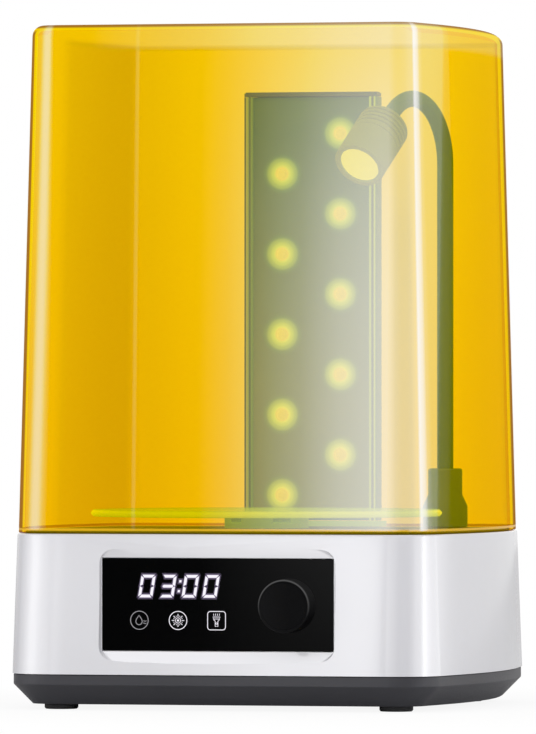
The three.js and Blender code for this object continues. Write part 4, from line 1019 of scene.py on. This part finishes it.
def lamp():
    """The head on the neck's end: a finned heat sink, a barrel with a stepped mouth, and a lens."""
    r, stub, sink, end, back = LAMP["radius"], LAMP["stub"], LAMP["sink"], LAMP["end"], LAMP["back"]
    profile = [(0, 2.5), (5.2, 2.5), (5.6, 2.9), (5.6, stub - 0.6)]
    profile += arc((r - 3.5, stub + 3.5), 3.5, -90, 0, 8)
    soft = 0.18
    for i in range(4):
        low = stub + 3.6 + i * 3
        high = low + 1.1
        profile += [(r, low - soft), (r - soft, low), (r - 2.2, low), (r - 2.2, high), (r - soft, high)]
        profile.append((r, high + soft))
    profile += [(r, sink - 0.3), (r - 0.3, sink), (r - 3.3, sink), (r - 3.3, sink + 3.4), (0, sink + 3.4)]
    lamp_piece("lamp_sink", profile, 72, "lamp_grey", "lamp_heat_sink")
    start = sink + GAP
    inner = r - LAMP["wall"]
    profile = [(r - 0.3, start), (r, start + 0.3), (r, end - 0.9), (r - 0.3, end - 0.25), (r - 0.9, end)]
    profile += [(11.95, end), (11.7, end - 0.3), (11.7, back - 0.3), (10.4, back - 0.3), (10.4, back - 1.3)]
    profile += [(inner, back - 2.3), (inner, start), (r - 0.3, start)]
    lamp_piece("lamp_shell", profile, 72, "lamp_grey", "lamp_barrel")
    front, lens = end - 0.8, LAMP["lens"]
    profile = [(0, back), (lens, back), (lens, front - 0.6), (lens - 0.6, front), (8, front - 0.15)]
    profile += [(4, front - 0.3), (0, front - 0.35)]
    lamp_piece("lamp_window", profile, 64, "lamp_glass", "lamp_lens")


lamp()

# The display in millimetres, by the photograph: heights above the bench, and x from the panel's middle
DIGIT = {"width": 8.0, "height": 12.4, "stroke": 1.5, "gap": 0.2, "tip": 0.35, "slant": 0.16}
DIGITS_LOW = 62.15
DIGIT_LEFTS = (-45.0, -33.1, -20.4, -8.7)
COLON_X = -22.6
COLON_RISES = (3.5, 8.9)
ICON_Z = 49.6
ICON_RADIUS = 5.0
ICON_LINE = 0.34


def on_panel(outline, rise):
    """A thin raised shape on the panel's face from an outline of (x, z) round the panel's middle."""
    count = len(outline)
    front = [(PANEL_MID[0] + x, PANEL_FRONT - rise, PANEL_MID[1] + z) for x, z in outline]
    back = [(x, PANEL_FRONT - 0.005, z) for x, _, z in front]
    faces = [tuple(range(count)), tuple(reversed(range(count, 2 * count)))]
    faces += [(i, (i + 1) % count, count + (i + 1) % count, count + i) for i in range(count)]
    return front + back, faces


def glyph(name, outlines, material, rise=0.06):
    points, faces = [], []
    for outline in outlines:
        more, sides = on_panel(outline, rise)
        faces += [tuple(i + len(points) for i in face) for face in sides]
        points += more
    build(name, points, faces, material, 30, body="base")


def band(centre_line, width, closed=False):
    """Outlines of short strips along a line of (x, z), one per stretch with mitred joints."""
    count = len(centre_line)
    sides = []
    for i, (x, z) in enumerate(centre_line):
        before = centre_line[i - 1] if closed or i else centre_line[i]
        after = centre_line[(i + 1) % count] if closed or i < count - 1 else centre_line[i]
        dx, dz = after[0] - before[0], after[1] - before[1]
        length = math.hypot(dx, dz) or 1
        nx, nz = -dz / length * width / 2, dx / length * width / 2
        sides.append(((x + nx, z + nz), (x - nx, z - nz)))
    strips = []
    for i in range(count if closed else count - 1):
        a, b = sides[i], sides[(i + 1) % count]
        strips.append([a[0], b[0], b[1], a[1]])
    return strips


def shifted(x, z, points):
    return [(x + a, z + b) for a, b in points]


def grown(outline, by):
    """The outline pushed outwards from its middle, side by side."""
    cx = sum(p[0] for p in outline) / len(outline)
    cz = sum(p[1] for p in outline) / len(outline)
    wide = max(abs(p[0] - cx) for p in outline)
    high = max(abs(p[1] - cz) for p in outline)
    return [(cx + (x - cx) * (1 + by / wide), cz + (z - cz) * (1 + by / high)) for x, z in outline]


def segment(key):
    """One of the seven strokes of an upright digit whose lower left corner is at 0, 0."""
    w, h, t, gap, tip = DIGIT["width"], DIGIT["height"], DIGIT["stroke"], DIGIT["gap"], DIGIT["tip"]
    half = h / 2
    if key == "g":
        low, high = half - t / 2, half + t / 2
        return [(0.9, half), (t, low), (w - t, low), (w - 0.9, half), (w - t, high), (t, high)]
    if key in "ad":
        low, high = (h - t, h) if key == "a" else (0, t)
        low_cut, high_cut = (t + gap, tip + gap) if key == "a" else (tip + gap, t + gap)
        return [(low_cut, low), (w - low_cut, low), (w - high_cut, high), (high_cut, high)]
    outside = 0 if key in "fe" else w
    inside = outside + (t if outside == 0 else -t)
    low, high = (half, h) if key in "fb" else (0, half)
    end, middle = (tip + gap, t + gap), (0.5 * gap, t / 2 + 0.6 * gap)
    low_cuts = end if low == 0 else middle
    high_cuts = end if high == h else middle
    return [
        (outside, low + low_cuts[0]), (outside, high - high_cuts[0]),
        (inside, high - high_cuts[1]), (inside, low + low_cuts[1]),
    ]


def digits():
    """The time 03:00 in seven segments, and two flat sheets of painted glow behind it."""
    strokes = {"0": "abcdef", "3": "abcdg"}
    low = DIGITS_LOW - PANEL_MID[1]
    slant = DIGIT["slant"]
    shapes = []
    for digit, left in zip("0300", DIGIT_LEFTS):
        for key in strokes[digit]:
            shapes.append([(left + x + slant * z, low + z) for x, z in segment(key)])
    for rise in COLON_RISES:
        dot = [(-0.62, -0.62), (0.62, -0.62), (0.82, 0.62), (-0.42, 0.62)]
        shapes.append(shifted(COLON_X + slant * rise, low + rise, dot))
    glyph("display_digits", shapes, "glyph")
    # flat sheets of painted glow round the digits
    for name, grow, rise in (("glow_near", 0.45, 0.04), ("glow_far", 1.0, 0.02)):
        glyph(f"display_{name}", [grown(shape, grow) for shape in shapes], name, rise)


digits()


def ring(x, z, radius, width, steps=36):
    return band(around(x, z, radius, steps), width, True)


def wash_icon(x, z):
    """A droplet with two ripples."""
    half_drop = [(0.9, 1.5), (1.6, 0.3), (1.85, -0.7), (1.5, -1.7), (0.8, -2.3)]
    other_half = [(-a, b) for a, b in reversed(half_drop)]
    drop = [(0, 2.7), *half_drop, (0, -2.5), *other_half]
    shapes = ring(x, z, ICON_RADIUS, ICON_LINE)
    shapes += band(shifted(x - 0.2, z, drop), ICON_LINE, True)
    for rise in (-0.4, -1.7):
        ripple = [(k * 0.45, 0.28 * math.sin(k * 1.9)) for k in range(5)]
        shapes += band(shifted(x + 2.2, z + rise, ripple), ICON_LINE * 0.8)
    glyph("icon_wash", shapes, "glyph_dim")


def cure_icon(x, z):
    """A sun with long and short rays."""
    shapes = ring(x, z, ICON_RADIUS, ICON_LINE * 1.15) + ring(x, z, 1.45, ICON_LINE)
    shapes.append(around(x, z, 0.62, 10))
    for i in range(8):
        for turn, reach, width in ((i, (2.1, 3.5), 1.1), (i + 0.5, (2.25, 2.75), 0.9)):
            a = turn * math.pi / 4
            shapes += band([(x + r * math.cos(a), z + r * math.sin(a)) for r in reach], ICON_LINE * width)
    glyph("icon_cure", shapes, "glyph")


def torch_icon(x, z):
    """A torch in a rounded frame."""
    half, r = 5.05, 1.6
    centre = half - r
    outline = []
    for start, right, up in ((0, 1, 1), (90, -1, 1), (180, -1, -1), (270, 1, -1)):
        outline += arc((x + right * centre, z + up * centre), r, start, start + 90, 5)
    half_head = [(2.0, 2.0), (1.5, 0.5), (0.75, -0.4), (0.75, -3.2)]
    head = [(-2.0, 2.0), *half_head, *((-a, b) for a, b in reversed(half_head[1:]))]
    shapes = band(outline, ICON_LINE * 1.15, True)
    shapes += band(shifted(x, z, head), ICON_LINE, True)
    shapes += band([(x - 1.6, z + 0.9), (x + 1.6, z + 0.9)], ICON_LINE * 0.9)
    shapes += ring(x, z - 1.6, 0.42, ICON_LINE * 0.8, 12)
    for a in (-1.5, -0.5, 0.5, 1.5):
        shapes += band([(x + a, z + 2.7), (x + a * 1.15, z + 3.8)], ICON_LINE * 0.9)
    glyph("icon_torch", shapes, "glyph")


wash_icon(-44.3, ICON_Z - PANEL_MID[1])
cure_icon(-22.4, ICON_Z - PANEL_MID[1])
torch_icon(-0.6, ICON_Z - PANEL_MID[1])


# The studio
def world():
    """White to the camera, to mirrors and through clear pieces, and a little dimmer as a light."""
    t = Tree("studio", world=True)
    path = t.add("LightPath").outputs
    seen = t.math("MAXIMUM", path["Is Camera Ray"], path["Is Glossy Ray"])
    seen = t.math("MAXIMUM", seen, path["Is Transmission Ray"])
    background = t.shader("Background", Color=WHITE, Strength=t.spread(seen, 0, 1, 0.78, 1.0))
    bpy.context.scene.world = t.finish(background)


world()


def stage_mesh(name, points, faces, material):
    mesh = bpy.data.meshes.new(name)
    mesh.from_pydata(points, [], faces)
    obj = new_object(name, mesh)
    mesh.materials.append(material)
    return obj


def floor():
    """A pale floor that takes soft shadows and goes over into white."""
    t = Tree("floor")
    path = t.add("LightPath").outputs
    seen = t.math("MAXIMUM", path["Is Camera Ray"], path["Is Transmission Ray"])
    away = t.vector("LENGTH", t.place())
    share = t.times(seen, t.spread(away, 0.13, 0.42, 0.9, 1.0, smooth=True))
    own = t.shader("BsdfDiffuse", Color=(0.86, 0.86, 0.87))
    white = t.shader("Emission", Strength=1.0)
    size = 8
    corners = [(-size, -size, 0), (size, -size, 0), (size, size, 0), (-size, size, 0)]
    stage_mesh("floor", corners, [(0, 1, 2, 3)], t.finish(t.blend(share, own, white)))


floor()

CASING_PIECES = {"base_housing", "bottom_shell", "control_panel", "knob_cap"}
CASING_PIECES |= {f"rubber_foot_{i}" for i in range(1, 5)}
CASING = bpy.data.collections.new("casing_mirrors")
for obj in bpy.context.scene.objects:
    if obj.name in CASING_PIECES:
        CASING.objects.link(obj)


def reflector(name, points, faces, level_of):
    """Adds to the white world, or dims it below a level of 1. Only mirrors see it, on the casing alone."""
    t = Tree(name)
    level = level_of(t)
    glow = t.shader("Emission", Strength=t.math("MAXIMUM", t.minus(level, 1.0), 0.0))
    clear = t.shader("BsdfTransparent", Color=t.mix(t.math("MINIMUM", level, 1.0), BLACK, WHITE))
    both = t.fill(t.add("AddShader"), {0: glow, 1: clear})[0]
    obj = stage_mesh(name, points, faces, t.finish(both))
    for kind in ("camera", "diffuse", "transmission", "volume_scatter", "shadow"):
        setattr(obj, f"visible_{kind}", False)
    obj.light_linking.receiver_collection = CASING


def bright_curve(t, value, rows):
    """A line through (value, level) pairs with levels of up to 10."""
    return t.times(t.curve(value, [(where, level / 10) for where, level in rows]), 10.0)


def near_card():
    """A close low card in front that the base mirrors, by x in metres."""
    y, low, high = -0.24, 0.001, 0.103
    rows = [
        (-0.130, 3.0), (-0.1266, 2.3), (-0.1235, 1.8), (-0.100, 1.9), (-0.065, 2.5), (-0.043, 3.3),
        (-0.019, 4.2), (0.0034, 5.1), (0.027, 5.0), (0.0475, 5.3), (0.0587, 5.1), (0.062, 4.4),
        (0.065, 3.8),
    ]
    left, right = rows[0][0], rows[-1][0]
    corners = [(left, y, low), (right, y, low), (right, y, high), (left, y, high)]
    reflector("near_card", corners, [(0, 1, 2, 3)], lambda t: bright_curve(t, t.axes()[0], rows))


near_card()


def wrap():
    """A low curved reflector round the base, whose brightness follows the compass angle in degrees."""
    radius, low, high = 0.30, 0.001, 0.1052
    rows = [
        (-160, 0.8), (-110, 0.8), (-92, 0.5), (-82, 0.4), (-69, 1.6), (-60, 3.5), (-53, 6.0), (-46.5, 6.2),
        (-40, 4.6), (-34, 3.8), (-28, 3.1), (-26, 1.0), (11, 1.0), (13, 3.0), (17, 2.0), (24, 1.2),
        (30, 0.1), (43, 0.1), (48, 1.1), (53, 2.9), (60, 3.7), (63, 6), (66.5, 8.5), (74, 5.4), (85, 3.7),
        (98, 2.9), (113, 2.4), (115, 1.8), (118, 1.4), (121, 1.05), (125, 0.97), (160, 0.9),
    ]
    angles = [math.radians(-160 + 4 * i) for i in range(84)]
    count = len(angles)
    points = []
    for z in (low, high):
        points += [(math.sin(a) * radius, MID_Y * MM - math.cos(a) * radius, z) for a in angles]
    faces = [(i, i + 1, count + i + 1, count + i) for i in range(count - 1)]

    def level_of(t):
        x, y, _ = t.axes()
        return bright_curve(t, t.compass(x, t.minus(MID_Y * MM, y)), rows)

    reflector("wrap", points, faces, level_of)


wrap()

# A card above and in front, mirrored where the casing's faces turn upwards
wide, front_edge, rear_edge = 0.6, (-1.0, 0.7), (-0.45, 1.25)
top_corners = [(-wide, *front_edge), (wide, *front_edge), (wide, *rear_edge), (-wide, *rear_edge)]
reflector("top_card", top_corners, [(0, 1, 2, 3)], lambda t: 5.0)


def area(name, place, size, energy):
    data = bpy.data.lights.new(name, "AREA")
    data.shape = "RECTANGLE"
    data.size, data.size_y = size
    data.energy = energy
    obj = new_object(name, data)
    aim_at(obj, place, (0, 0, 0.15))
    obj.visible_glossy = False


area("key", (-0.9, -1.6, 1.5), (1.4, 1.0), 9)
area("fill", (1.6, -0.8, 1.0), (1.2, 1.2), 6)
